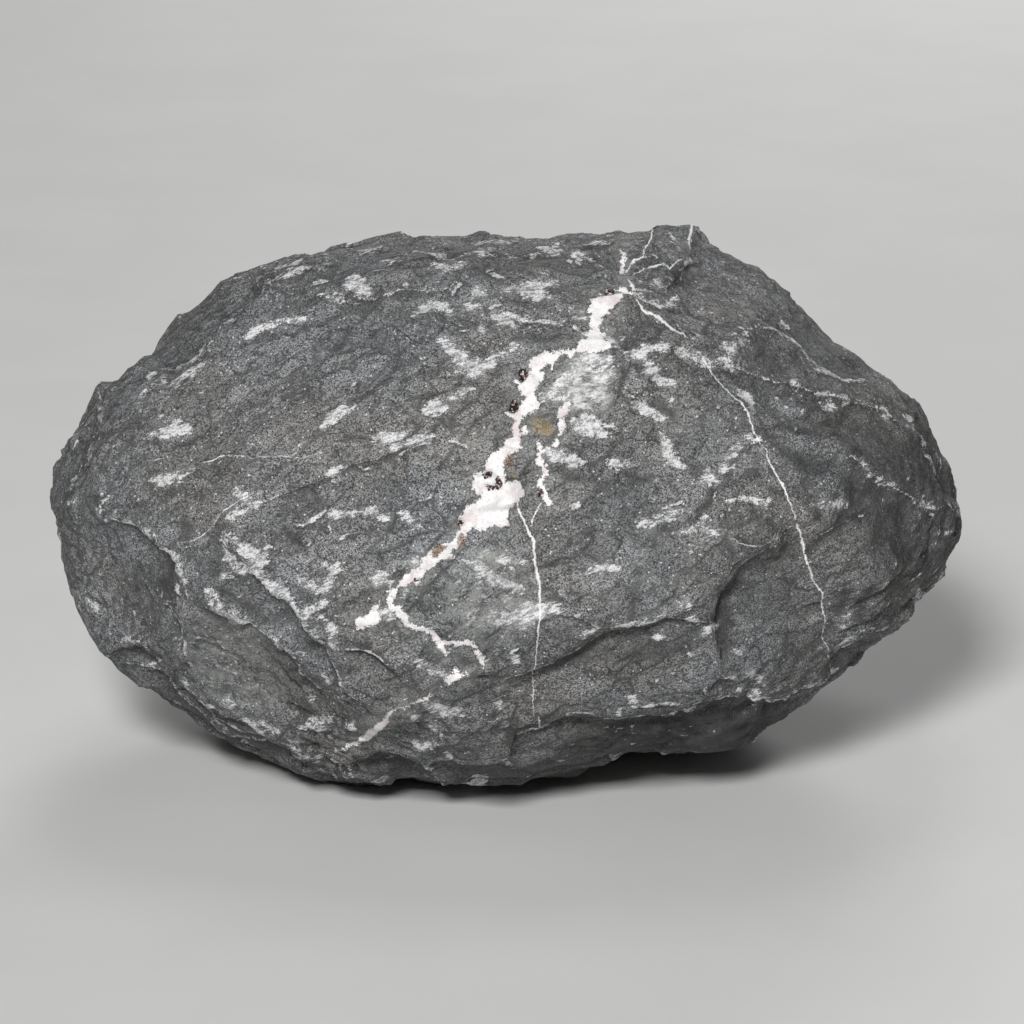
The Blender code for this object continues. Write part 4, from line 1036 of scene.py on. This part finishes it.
def both_sides(places, points, front):
    """The fields of the whole skin: the photographed side's marks in front, others behind."""
    fields = {}
    for side, marks in ((front, near_side()), (~front, far_side())):
        for name, values in mark_fields(places[side], points[side], marks).items():
            if name not in fields:
                fields[name] = np.zeros((len(places),) + values.shape[1:])
            fields[name][side] = values
    return fields


# ---- Skin ------------------------------------------------------------------------------------
def sphere_grid():
    """A sphere of even quads, packed closer together on the side towards the viewer."""
    grid = bmesh.new()
    bmesh.ops.create_cube(grid, size=2.0)
    bmesh.ops.subdivide_edges(grid, edges=grid.edges[:], cuts=GRID - 1, use_grid_fill=True)
    for vertex in grid.verts:
        even = Vector([math.tan(c * math.pi / 4) for c in vertex.co]).normalized()
        spread = math.sqrt((1 - even.z) / max(1 + even.z, 1e-12)) * FRONT_BIAS
        depth = (1 - spread ** 2) / (1 + spread ** 2)
        ring = math.sqrt(max(1 - depth ** 2, 0.0)) / max(math.hypot(even.x, even.y), 1e-9)
        vertex.co = RIGHT * even.x * ring + UP * even.y * ring + TOWARD * depth
    return grid


def shrink_onto(grid, rock, middle):
    """Move each vertex of the sphere straight inwards onto the CAD stone."""
    surface = bmesh.new()
    surface.from_mesh(rock.data)
    tree = BVHTree.FromBMesh(surface)
    for vertex in grid.verts:
        hit, _, _, _ = tree.ray_cast(middle + vertex.co * OUTSIDE, -vertex.co)
        vertex.co = hit
    surface.free()


def vertex_places(grid):
    """Coordinates of the vertices of a bmesh, as rows."""
    return np.array([vertex.co for vertex in grid.verts])


def neighbour_means(points, edges):
    """For each point, the mean of those that it shares an edge with."""
    ends = np.concatenate([edges, edges[:, ::-1]])
    counts = np.bincount(ends[:, 0], minlength=len(points))[:, None]
    total = np.column_stack([np.bincount(ends[:, 0], weights=points[ends[:, 1], axis],
                                         minlength=len(points)) for axis in range(3)])
    return total / counts


def relax(grid, passes):
    """Round off the CAD facets: move each vertex halfway to the mean of its neighbours."""
    points = vertex_places(grid)
    grid.verts.index_update()
    edges = np.array([(edge.verts[0].index, edge.verts[1].index) for edge in grid.edges])
    for _ in range(passes):
        flat = points[:, 2] < FLAT_SPOT
        points = (points + neighbour_means(points, edges)) / 2
        points[flat, 2] = 0.0
    for vertex, point in zip(grid.verts, points):
        vertex.co = point


def split_near_vein(grid, middle):
    """Split the quads near the vein once more, so that its ragged edge is followed closely."""
    points = vertex_places(grid)
    ahead = (points - np.array(middle)) @ np.array(TOWARD) > 0
    depth = mark_depth(picture_places(points), list(VEIN_OUTLINES.values()),
                       list(VEIN_STRETCHES.values()))
    close = (depth > -CLOSE_TO_VEIN) & ahead
    edges = [edge for edge in grid.edges
             if close[edge.verts[0].index] or close[edge.verts[1].index]]
    bmesh.ops.subdivide_edges(grid, edges=edges, cuts=1, use_grid_fill=True)


def along_grain(points):
    """Points drawn together along the stone's grain, so that noise there is drawn out along it."""
    grain = np.array(RIGHT * math.cos(GRAIN_TURN) + UP * math.sin(GRAIN_TURN))
    return points - (1 - 1 / GRAIN_STRETCH) * (points @ grain)[:, None] * grain


def smooth_noise(points, size):
    """Noise of about -1 to 1 at each point, with features of that size."""
    return np.array([noise.noise(Vector(p) / size) for p in points])


def broken_noise(point, size, chips, seed):
    """Noise of about -1 to 1, partly broken into flat chips with sharp edges."""
    place = Vector(point) / size + LAYER_SHIFT * seed
    smooth = noise.noise(place)
    distances, centres = noise.voronoi(place)
    tilt = noise.cell_vector(centres[0] * 7.3)
    chip = tilt.dot(place - centres[0]) * min((distances[1] - distances[0]) * CHIP_EDGE, 1.0)
    return (1 - chips) * smooth + chips * CHIP_HEIGHT * chip


def terraced_noise(point, size, levels):
    """Slow rises that end in sharp steps, from about -0.5 to 0.5."""
    place = Vector(point) / size
    level = levels * sum(part * noise.noise(place * fineness)
                         for fineness, part in TERRACE_OCTAVES)
    share = level % 1.0
    low, high = TERRACE_EDGE
    edge = min(max((share - low) / (high - low), 0.0), 1.0)
    return edge * edge * (3 - 2 * edge) - share


def rough_relief(points, normals, smoothness):
    """Fracture roughness all over, with fine ledges of bedding along the rim, in mm."""
    in_mm = points / MM
    facing = normals @ np.array(TOWARD)
    bolder = 1 + BLOCKINESS * smooth_step(*OFF_FACE, facing)
    relief = np.zeros(len(points))
    for seed, (size, height, chips) in enumerate(ROUGHNESS_LAYERS):
        relief += height * bolder * np.array([broken_noise(p, size, chips, seed) for p in in_mm])
        bolder = 1.0
    for size, height, levels in TERRACE_LAYERS:
        relief += height * np.array([terraced_noise(p, size, levels)
                                     for p in along_grain(in_mm)])
    relief *= 1 - SMOOTHED * smoothness
    return relief - BED_STEP * bedding(in_mm, facing)


def bedding(in_mm, facing):
    """Saw-toothed beds along the rim, from 0 to 1, for points in mm and how they face."""
    stray = sum(part * smooth_noise(in_mm, size) for size, part in BED_STRAY_LAYERS)
    beds = (in_mm @ np.array(TOWARD) / BED_THICKNESS + BED_STRAY * stray) % 1.0
    on_rim = smooth_step(*RIM_BEGINS, facing) * smooth_step(*RIM_ENDS, facing)
    on_rim *= smooth_step(*BED_PATCH_EDGE, smooth_noise(in_mm, BED_PATCHES))
    return on_rim * beds


def broken_at_glance(points, normals, depth):
    """Scuffs on stone seen at a glancing angle, broken up so that they don't smear along it."""
    glancing = smooth_step(*GLANCING, np.abs(normals @ np.array(TOWARD)))
    gaps = np.maximum(smooth_noise(points / MM, BREAK_SIZE) + BREAK_SHARE, 0.0)
    return depth - glancing * gaps * BREAK_DEPTH


def vein_relief(points, depth):
    """The vein's sugary surface, in mm, which stands a little proud of the stone."""
    size, height = VEIN_GRAIN
    sugary = VEIN_PROUD + height * smooth_noise(points / MM, size)
    return smooth_step(*VEIN_SHOULDER, depth) * sugary


def mesh_columns(mesh, name):
    """A per-vertex vector property of a mesh, as rows."""
    values = np.empty(3 * len(mesh.vertices))
    mesh.vertices.foreach_get(name, values)
    return values.reshape(-1, 3)


def curvature(mesh, points, normals):
    """How far each vertex stands out from its neighbours, in mm."""
    edges = np.empty(2 * len(mesh.edges), dtype=int)
    mesh.edges.foreach_get("vertices", edges)
    raised = points - neighbour_means(points, edges.reshape(-1, 2))
    return (raised * normals).sum(axis=1) / MM


def add_field(mesh, name, values):
    """Store one number or vector per vertex, for the material to read."""
    if values.ndim == 1:
        mesh.attributes.new(name, "FLOAT", "POINT").data.foreach_set("value", values)
    else:
        field = mesh.attributes.new(name, "FLOAT_VECTOR", "POINT")
        field.data.foreach_set("vector", np.ascontiguousarray(values).ravel())


def wrap(rock, middle):
    """A fine even skin over the CAD stone, as a mesh."""
    grid = sphere_grid()
    shrink_onto(grid, rock, middle)
    relax(grid, RELAX_PASSES)
    split_near_vein(grid, middle)
    mesh = bpy.data.meshes.new("rock_surface")
    grid.to_mesh(mesh)
    grid.free()
    return mesh


def add_relief(mesh, points, fields, low, high):
    """Move the skin's points in and out by its relief, but never out of the CAD stone's box."""
    normals = mesh_columns(mesh, "normal")
    relief = rough_relief(points, normals, fields["smooth"]) + fields["height"]
    relief += vein_relief(points, fields["vein"]) - PIT_DEPTH * fields["vug"]
    relief *= smooth_step(0.0, FLAT_FADE, points[:, 2])
    moved = points + normals * (relief * MM)[:, None]
    moved = np.clip(moved, np.array(low) + (MARGIN, MARGIN, 0), np.array(high) - MARGIN)
    mesh.vertices.foreach_set("co", moved.ravel())
    mesh.update()
    mesh.shade_smooth()
    add_field(mesh, "convexity", curvature(mesh, moved, mesh_columns(mesh, "normal")))


def dress_rock(rock):
    """The stone's skin, with its relief in its mesh and its marks in its fields."""
    low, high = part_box(rock.name)
    middle = (low + high) / 2
    mesh = wrap(rock, middle)
    points = mesh_columns(mesh, "co")
    front = (points - np.array(middle)) @ np.array(TOWARD) > 0
    fields = both_sides(picture_places(points), points, front)
    fields["scuff"] = broken_at_glance(points, mesh_columns(mesh, "normal"), fields["scuff"])
    add_relief(mesh, points, fields, low, high)
    for name, values in fields.items():
        if name not in SHAPE_FIELDS:
            add_field(mesh, name, values)

    skin = bpy.data.objects.new("rock_surface", mesh)
    bpy.context.scene.collection.objects.link(skin)
    skin.data.materials.append(stone_material())
    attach(skin, "root")
    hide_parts("rock")
    return skin


# ---- Crystals --------------------------------------------------------------------------------
def crystal(grid, place, outwards, size, rng):
    """One stubby six-sided crystal with pointed ends, bedded in the surface, of its own tone."""
    tone = grid.verts.layers.float["tone"]
    shade = rng.random()
    turn = outwards.to_track_quat("Z", "Y").to_matrix()
    tilt = rng.uniform(-CRYSTAL_LEAN, CRYSTAL_LEAN)
    lean = Matrix.Rotation(tilt, 3, (rng.random() - 0.5, rng.random(), 0.1))
    twist = rng.uniform(0, math.pi)
    stretch = rng.uniform(*CRYSTAL_STRETCH)
    ends = [(0.5 * stretch, 0.5), (-0.5 * stretch, 0.5)]
    rings = []
    for height, radius in ends:
        ring = []
        for side in range(CRYSTAL_SIDES):
            angle = twist + 2 * math.pi * side / CRYSTAL_SIDES
            local = Vector((radius * math.cos(angle), radius * math.sin(angle), height)) * size
            ring.append(grid.verts.new(place + turn @ lean @ local))
        rings.append(ring)
    tips = [grid.verts.new(place + turn @ lean @ Vector((0, 0, height * CRYSTAL_TIP)) * size)
            for height, _ in ends]
    for side in range(CRYSTAL_SIDES):
        after = (side + 1) % CRYSTAL_SIDES
        grid.faces.new((rings[1][side], rings[1][after], rings[0][after], rings[0][side]))
        grid.faces.new((rings[0][side], rings[0][after], tips[0]))
        grid.faces.new((rings[1][after], rings[1][side], tips[1]))
    for vertex in rings[0] + rings[1] + tips:
        vertex[tone] = shade


def place_in_vug(vug, rng):
    """A random place in the picture inside a vug."""
    x, y, width, height, turn, _ = vug
    angle = math.radians(turn)
    bearing, reach = rng.uniform(0, 2 * math.pi), math.sqrt(rng.random()) * CRYSTAL_SPREAD
    across = reach * width * math.cos(bearing)
    down = reach * height * math.sin(bearing)
    return (x + across * math.cos(angle) - down * math.sin(angle),
            y + across * math.sin(angle) + down * math.cos(angle))


def grow_crystals(skin):
    """Small dark crystals that line the vugs."""
    rng = random.Random(SEED + 1)
    tree = BVHTree.FromObject(skin, bpy.context.evaluated_depsgraph_get())
    grid = bmesh.new()
    grid.verts.layers.float.new("tone")
    for vug in VUGS.values():
        _, _, width, height, _, _ = vug
        for _ in range(int(width * height * CRYSTALS_PER_AREA) + CRYSTALS_AT_LEAST):
            hit, outwards, _, _ = tree.ray_cast(EYE, sight_line(*place_in_vug(vug, rng)))
            crystal(grid, hit, outwards, rng.uniform(*CRYSTAL_SIZE) * MM, rng)
    mesh = bpy.data.meshes.new("vug_crystals")
    grid.to_mesh(mesh)
    grid.free()
    crystals = bpy.data.objects.new("vug_crystals", mesh)
    bpy.context.scene.collection.objects.link(crystals)
    mesh.materials.append(crystal_material())
    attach(crystals, "root")


# ---- Materials -------------------------------------------------------------------------------
class Graph:
    """The node graph of one material. Each method adds a node and gives its output."""

    def __init__(self, name):
        self.material = bpy.data.materials.new(name)
        self.material.use_nodes = True
        self.tree = self.material.node_tree
        self.surface = self.tree.nodes["Principled BSDF"]
        coordinates = self.tree.nodes.new("ShaderNodeTexCoord")
        self.place = self.vector("SCALE", coordinates.outputs["Object"], Scale=1 / MM)

    def feed(self, socket, value):
        """Link an output to a socket, or set the socket to a plain value."""
        if isinstance(value, bpy.types.NodeSocket):
            self.tree.links.new(value, socket)
        else:
            socket.default_value = value

    def vector(self, operation, first, second=None, **named):
        """Vector arithmetic."""
        node = self.tree.nodes.new("ShaderNodeVectorMath")
        node.operation = operation
        self.feed(node.inputs[0], first)
        if second is not None:
            self.feed(node.inputs[1], second)
        for name, value in named.items():
            self.feed(node.inputs[name], value)
        return node.outputs["Vector"]

    def math(self, operation, first, second=0.0, clamp=False):
        """Arithmetic on numbers."""
        node = self.tree.nodes.new("ShaderNodeMath")
        node.operation = operation
        node.use_clamp = clamp
        self.feed(node.inputs[0], first)
        self.feed(node.inputs[1], second)
        return node.outputs["Value"]

    def times(self, first, second):
        """The product of two numbers."""
        return self.math("MULTIPLY", first, second)

    def sum(self, *terms):
        """The sum of several numbers."""
        total = terms[0]
        for term in terms[1:]:
            total = self.math("ADD", total, term)
        return total

    def field(self, name):
        """A number stored on the mesh."""
        node = self.tree.nodes.new("ShaderNodeAttribute")
        node.attribute_name = name
        return node.outputs["Fac"]

    def fields(self, name):
        """The three numbers of a vector stored on the mesh."""
        node = self.tree.nodes.new("ShaderNodeAttribute")
        node.attribute_name = name
        split = self.tree.nodes.new("ShaderNodeSeparateXYZ")
        self.feed(split.inputs[0], node.outputs["Vector"])
        return split.outputs[0], split.outputs[1], split.outputs[2]

    def noise(self, name):
        """The texture of that name: noise from 0 to 1, mostly near 0.5."""
        size, detail, roughness, *stretch = TEXTURES[name]
        node = self.tree.nodes.new("ShaderNodeTexNoise")
        self.feed(node.inputs["Vector"], self.drawn_out(*stretch) if stretch else self.place)
        node.inputs["Scale"].default_value = 1 / size
        node.inputs["Detail"].default_value = detail
        node.inputs["Roughness"].default_value = roughness
        return node.outputs["Fac"]

    def cells(self, size):
        """Two random numbers from 0 to 1 for each of many small grains of that size in mm."""
        node = self.tree.nodes.new("ShaderNodeTexVoronoi")
        self.feed(node.inputs["Vector"], self.place)
        node.inputs["Scale"].default_value = 1 / size
        split = self.tree.nodes.new("ShaderNodeSeparateXYZ")
        self.feed(split.inputs[0], node.outputs["Color"])
        return split.outputs[0], split.outputs[1]

    def facets(self, size, place):
        """For irregular facets of that size in mm: two random numbers, and how far the edge is."""
        insides = self.tree.nodes.new("ShaderNodeTexVoronoi")
        edges = self.tree.nodes.new("ShaderNodeTexVoronoi")
        edges.feature = "DISTANCE_TO_EDGE"
        for node in (insides, edges):
            self.feed(node.inputs["Vector"], place)
            node.inputs["Scale"].default_value = 1 / size
        split = self.tree.nodes.new("ShaderNodeSeparateXYZ")
        self.feed(split.inputs[0], insides.outputs["Color"])
        return split.outputs[0], split.outputs[1], edges.outputs["Distance"]

    def dots(self, spacing, radius, shift=0.0):
        """Small round spots of that radius, scattered about that far apart, in mm."""
        node = self.tree.nodes.new("ShaderNodeTexVoronoi")
        moved = self.vector("ADD", self.place, (shift, shift, shift))
        self.feed(node.inputs["Vector"], moved)
        node.inputs["Scale"].default_value = 1 / spacing
        edge = radius / spacing
        return self.step(node.outputs["Distance"], 1.3 * edge, 0.5 * edge)

    def drawn_out(self, stretch):
        """The place, for what is drawn out that many times along the stone's streaks."""
        node = self.tree.nodes.new("ShaderNodeMapping")
        node.vector_type = "TEXTURE"
        self.feed(node.inputs["Vector"], self.place)
        node.inputs["Rotation"].default_value = (0.0, STREAK_TURN, 0.0)
        node.inputs["Scale"].default_value = (stretch, 1.0, 1.0)
        return node.outputs["Vector"]

    def step(self, value, low, high, from_value=0.0, to_value=1.0):
        """A smooth rise from one value at low to another at high."""
        node = self.tree.nodes.new("ShaderNodeMapRange")
        node.interpolation_type = "SMOOTHSTEP"
        rising = low < high
        self.feed(node.inputs["Value"], value)
        node.inputs["From Min"].default_value = low if rising else high
        node.inputs["From Max"].default_value = high if rising else low
        node.inputs["To Min"].default_value = from_value if rising else to_value
        node.inputs["To Max"].default_value = to_value if rising else from_value
        return node.outputs["Result"]

    def blend(self, share, first, second, kind="MIX"):
        """The first colour, with a share of the second over it."""
        node = self.tree.nodes.new("ShaderNodeMix")
        node.data_type = "RGBA"
        node.blend_type = kind
        self.feed(node.inputs["Factor"], share)
        self.feed(node.inputs[6], first)
        self.feed(node.inputs[7], second)
        return node.outputs[2]

    def bump(self, height, depth):
        """A normal from a height of 0 to 1, with that depth in mm."""
        node = self.tree.nodes.new("ShaderNodeBump")
        node.inputs["Distance"].default_value = depth * MM
        self.feed(node.inputs["Height"], height)
        return node.outputs["Normal"]


def broken_faces(graph):
    """The stone's broken faces, drawn out along its streaks: tone, and painted shade in the creases
    between them.
    """
    bent = graph.times(graph.noise("bends"), FACE_BEND)
    place = graph.vector("ADD", graph.drawn_out(FACE_STRETCH),
                         graph.vector("SCALE", (1.0, 1.0, 1.0), Scale=bent))
    tone, rarity, off_edge = graph.facets(FACE_SIZE, place)
    strength = graph.step(rarity, 0.30, 0.75, COVER["faint face creases"], COVER["face creases"])
    return tone, graph.times(graph.step(off_edge, FACE_CREASE, 0.0), strength)


def stone_colour(graph, shade, warmth, face_tone):
    """Fine salt-and-pepper basalt, mottled, with black specks, and tiny sparkles painted in as
    glints.
    """
    grain = graph.sum(graph.times(shade, 0.90), graph.noise("grains"),
                      graph.times(graph.noise("clumps"), 0.12))
    colour = graph.blend(graph.step(grain, 0.60, 1.42), DARK_GRAIN, LIGHT_GRAIN)
    mottle = graph.sum(graph.noise("mottle"), graph.times(face_tone, 0.6), graph.noise("bands"))
    colour = graph.vector("SCALE", colour, Scale=graph.step(mottle, 0.8, 1.7, *BRIGHTNESS))
    hue = graph.sum(graph.noise("hues"), graph.times(warmth, 0.35))
    tint = graph.blend(graph.step(hue, 0.50, 0.85), COOL_TINT, WARM_TINT)
    colour = graph.blend(1.0, colour, tint, "MULTIPLY")
    colour = graph.blend(graph.dots(*SPECKS), colour, SPECK_BLACK)
    # Painted glints
    sparkles = graph.times(graph.dots(*SPARKLES), COVER["sparkles"])
    return graph.blend(sparkles, colour, SPARKLE)


def add_shade_and_dark_stone(graph, colour, face_crease):
    """Painted shade below ledges, in hollows and along fine wandering creases, and the darker places,
    which are partly darker stone and partly painted shade.
    """
    # Painted shade in hollows, below ledges and in creases
    hollow = graph.step(graph.field("convexity"), -0.01, -0.12, 0.0, COVER["hollows"])
    below = graph.times(graph.field("ledge_shade"), COVER["below ledges"])
    off_crease = graph.math("ABSOLUTE", graph.math("SUBTRACT", graph.noise("creases"), 0.5))
    crease = graph.math("MAXIMUM", graph.step(off_crease, 0.020, 0.004, 0.0, COVER["creases"]),
                        face_crease)
    share = graph.math("MAXIMUM", graph.math("MAXIMUM", hollow, below), crease)
    colour = graph.blend(share, colour, SHADE_AND_DIRT)
    # The darker places: darker stone, and painted shade on the underside, the ends and in folds
    return graph.blend(graph.field("dark"), colour, SHADE_AND_DIRT)


def add_haze(graph, colour, streaks, flakes):
    """The pale greenish rock beside the vein, and faint haze over some places."""
    beside = graph.step(graph.field("vein"), BESIDE_VEIN, 0.0, 0.0, COVER["beside the vein"])
    haze = graph.math("MAXIMUM", graph.field("haze"), beside)
    patchy = graph.step(graph.sum(graph.noise("haze patches"), graph.noise("haze grains")),
                        0.75, 1.25)
    share = graph.times(graph.times(haze, patchy), COVER["haze"])
    colour = graph.blend(share, colour, GREENISH)
    fibrous = graph.sum(graph.times(graph.field("haze"), 0.45), streaks, flakes)
    pale = graph.step(fibrous, 1.36, 1.72, 0.0, COVER["haze fibres"])
    return graph.blend(pale, colour, SCUFF_BRIGHT)


def scuff_paint(graph, shade, streaks, flakes):
    """Crushed stone: pale grains, fibres and flakes of many shades."""
    texture = graph.sum(graph.times(shade, 0.35), streaks, flakes)
    return graph.blend(graph.step(texture, 0.95, 1.40), SCUFF, SCUFF_BRIGHT)


def add_scuffs(graph, colour, crumble, paint):
    """Pale scuffs, broken up at their edges, where the stone has been knocked or worn."""
    patchy = graph.step(graph.noise("worn patches"), 0.52, 0.64, -9.0, -3.5)
    worn = graph.sum(graph.step(graph.field("convexity"), 0.08, 0.35, 0.0, 5.0), patchy)
    depth = graph.sum(graph.math("MAXIMUM", graph.field("scuff"), worn), crumble)
    colour = graph.blend(graph.step(depth, -3.0, 0.5, 0.0, COVER["dust"]), colour, SCUFF)
    return graph.blend(graph.step(depth, -0.2, 1.0, 0.0, COVER["scuffs"]), colour, paint)


def add_lines(graph, colour, number, strays, crumble, paint):
    """One channel of thin lines: white mineral, bruised edges with painted shade below, and dark
    cracks of painted shade.
    """
    side, half, tone = graph.fields(f"lines_{number}")
    side = graph.math("ADD", side, strays)
    is_crack = graph.step(tone, 0.35, 0.15)
    off_tone = graph.math("ABSOLUTE", graph.math("SUBTRACT", tone, BRUISED))
    is_bruise = graph.step(off_tone, 0.25, 0.15)
    # Painted shadow below each bruised line
    below = graph.step(graph.math("SUBTRACT", side, half), *LINE_SHADE_RUN)
    shade = graph.sum(graph.step(side, -0.5, 0.5), below, is_bruise,
                      graph.step(half, -1.0, 0.5), -3.0)
    shade = graph.math("MULTIPLY", shade, COVER["line shade"], clamp=True)
    colour = graph.blend(shade, colour, SHADE_AND_DIRT)
    broken = graph.times(crumble, graph.step(is_bruise, 0.0, 1.0, 0.12, 0.30))
    depth = graph.sum(half, broken, graph.times(graph.math("ABSOLUTE", side), -1.0))
    strength = graph.step(is_bruise, 0.0, 1.0, COVER["mineral lines"], COVER["bruised lines"])
    share = graph.times(graph.step(depth, -0.2, 1.0), strength)
    # Cracks take the colour of painted shade
    paint = graph.blend(is_crack, graph.blend(is_bruise, VEIN_WHITE, paint), CRACK_SHADE)
    return graph.blend(share, colour, paint)


def add_vein(graph, colour, stipple):
    """The ragged white vein, with pink and grey stains in it. Gives colour and share."""
    ragged = graph.sum(graph.times(graph.noise("vein edge"), 7.0),
                       graph.times(graph.noise("vein edge, finer"), 9.0),
                       graph.times(stipple, 6.0))
    depth = graph.sum(graph.field("vein"), ragged, -11.0)
    dirty = graph.step(graph.noise("vein dirt"), 0.42, 0.60, 0.0, COVER["vein dirt"])
    colour = graph.blend(graph.times(graph.step(depth, -2.6, -0.6), dirty), colour, SHADE_AND_DIRT)
    pink = graph.step(graph.noise("vein pink"), 0.48, 0.66, 0.0, COVER["vein pink"])
    grey = graph.step(graph.noise("vein grey"), 0.54, 0.66, 0.0, COVER["vein grey"])
    white = graph.blend(grey, graph.blend(pink, VEIN_WHITE, VEIN_PINK), VEIN_GREY)
    share = graph.step(depth, -0.4, 0.6)
    return graph.blend(share, colour, white), share


def add_stains(graph, colour):
    """Rust, ochre and the dark red-brown of the vugs."""
    spread = graph.times(graph.noise("blotches"), 2.2)
    ochre = graph.step(graph.sum(graph.field("ochre"), spread), 1.50, 2.35, 0.0, COVER["ochre"])
    colour = graph.blend(ochre, colour, OCHRE)
    rust = graph.step(graph.sum(graph.field("rust"), spread), 1.35, 2.0, 0.0, COVER["rust"])
    rusty = graph.blend(graph.step(graph.noise("rust shades"), 0.40, 0.62), RUST_DARK, RUST_TAN)
    colour = graph.blend(rust, colour, rusty)
    vug = graph.step(graph.sum(graph.field("vug"), spread), 1.55, 1.80)
    lining = graph.blend(graph.step(graph.noise("vug lining"), 0.46, 0.56), VUG_BLACK, RUST_DARK)
    # Painted glints on the vug lining
    lining = graph.blend(graph.step(graph.noise("vug glints"), 0.60, 0.64), lining, VEIN_PINK)
    return graph.blend(vug, colour, lining)


def fine_roughness(graph):
    """A normal for grit, small lumps and chips."""
    height = graph.sum(graph.noise("grit"), graph.times(graph.noise("lumps"), 0.4),
                       graph.times(graph.noise("chips"), 2.0))
    return graph.bump(height, BUMP_DEPTH)


def stone_material():
    """Basalt with its vein, thin lines, scuffs and stains."""
    graph = Graph("stone")
    shade, warmth = graph.cells(GRAIN)
    streaks = graph.noise("fibres")
    stipple = graph.noise("stipple")
    flakes = graph.noise("flakes")
    crumble = graph.times(graph.sum(streaks, stipple, flakes, -1.5), CRUMBLE)
    strays = graph.times(graph.sum(graph.noise("line strays"), -0.5), LINE_STRAY)
    paint = scuff_paint(graph, shade, streaks, flakes)
    face_tone, face_crease = broken_faces(graph)
    colour = add_shade_and_dark_stone(graph, stone_colour(graph, shade, warmth, face_tone), face_crease)
    colour = add_haze(graph, colour, streaks, flakes)
    colour = add_scuffs(graph, colour, crumble, paint)
    for number in range(LINE_CHANNELS):
        colour = add_lines(graph, colour, number, strays, crumble, paint)
    colour, vein = add_vein(graph, colour, stipple)
    surface = graph.surface.inputs
    graph.feed(surface["Base Color"], add_stains(graph, colour))
    graph.feed(surface["Roughness"],
               graph.step(vein, 0.0, 1.0, ROUGHNESS["stone"], ROUGHNESS["vein"]))
    graph.feed(surface["Normal"], fine_roughness(graph))
    surface["Specular IOR Level"].default_value = STONE_SPECULAR
    return graph.material


def crystal_material():
    """Small dark red-brown crystals, a little glassy."""
    graph = Graph("crystal")
    tone = graph.sum(graph.field("tone"), graph.noise("crystal shades"), -0.5)
    colour = graph.blend(graph.step(tone, 0.45, 0.75), CRYSTAL_DARK, CRYSTAL_LIGHT)
    colour = graph.blend(graph.step(tone, 0.80, 0.90), colour, CRYSTAL_PALE)
    graph.feed(graph.surface.inputs["Base Color"], colour)
    graph.surface.inputs["Roughness"].default_value = ROUGHNESS["crystal"]
    return graph.material


def floor_material():
    """Pale matt floor with a very faint unevenness."""
    graph = Graph("floor")
    uneven = graph.step(graph.noise("floor"), 0.3, 0.7, *FLOOR_SHADES)
    graph.feed(graph.surface.inputs["Base Color"],
               graph.vector("SCALE", FLOOR_PALE[:3], Scale=uneven))
    graph.surface.inputs["Roughness"].default_value = ROUGHNESS["floor"]
    return graph.material


# ---- Stage -----------------------------------------------------------------------------------
def lay_floor():
    """The plain pale floor that the stone stands on."""
    bpy.ops.mesh.primitive_grid_add(x_subdivisions=FLOOR_QUADS,
                                    y_subdivisions=FLOOR_QUADS, size=FLOOR_SIDE,
                                    location=(0, FLOOR_SIDE / 4, 0))
    floor = bpy.context.object
    floor.name = "floor"
    floor.data.materials.append(floor_material())


def hang_lamps():
    """Soft square lamps, each turned to the stone, and a pale surround."""
    for name, (place, side, power) in LAMPS.items():
        lamp = bpy.data.lights.new(name, "AREA")
        lamp.size = side
        lamp.energy = power
        holder = bpy.data.objects.new(name, lamp)
        holder.location = place
        holder.rotation_euler = (Vector(place) - AIM).to_track_quat("Z", "Y").to_euler()
        bpy.context.scene.collection.objects.link(holder)
    world = bpy.data.worlds.new("surround")
    world.use_nodes = True
    background = world.node_tree.nodes["Background"]
    background.inputs["Color"].default_value = WORLD
    background.inputs["Strength"].default_value = WORLD_STRENGTH
    bpy.context.scene.world = world


def place_camera():
    """The camera at the photograph's angle."""
    camera = bpy.data.cameras.new("camera")
    camera.lens = LENS
    camera.sensor_width = SENSOR
    camera.clip_start = 0.01
    holder = bpy.data.objects.new("camera", camera)
    holder.location = EYE
    holder.rotation_euler = TOWARD.to_track_quat("Z", "Y").to_euler()
    bpy.context.scene.collection.objects.link(holder)
    bpy.context.scene.camera = holder
    bpy.context.scene.view_settings.view_transform = "Standard"


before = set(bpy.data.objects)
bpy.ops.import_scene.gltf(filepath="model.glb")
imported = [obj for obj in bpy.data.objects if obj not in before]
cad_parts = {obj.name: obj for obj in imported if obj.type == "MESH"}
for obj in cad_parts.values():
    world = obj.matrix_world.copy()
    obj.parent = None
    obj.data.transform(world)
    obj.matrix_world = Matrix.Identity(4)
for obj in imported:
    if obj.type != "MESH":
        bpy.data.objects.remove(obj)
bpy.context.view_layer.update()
surface = dress_rock(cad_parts["rock"])
grow_crystals(surface)
lay_floor()
hang_lamps()
place_camera()
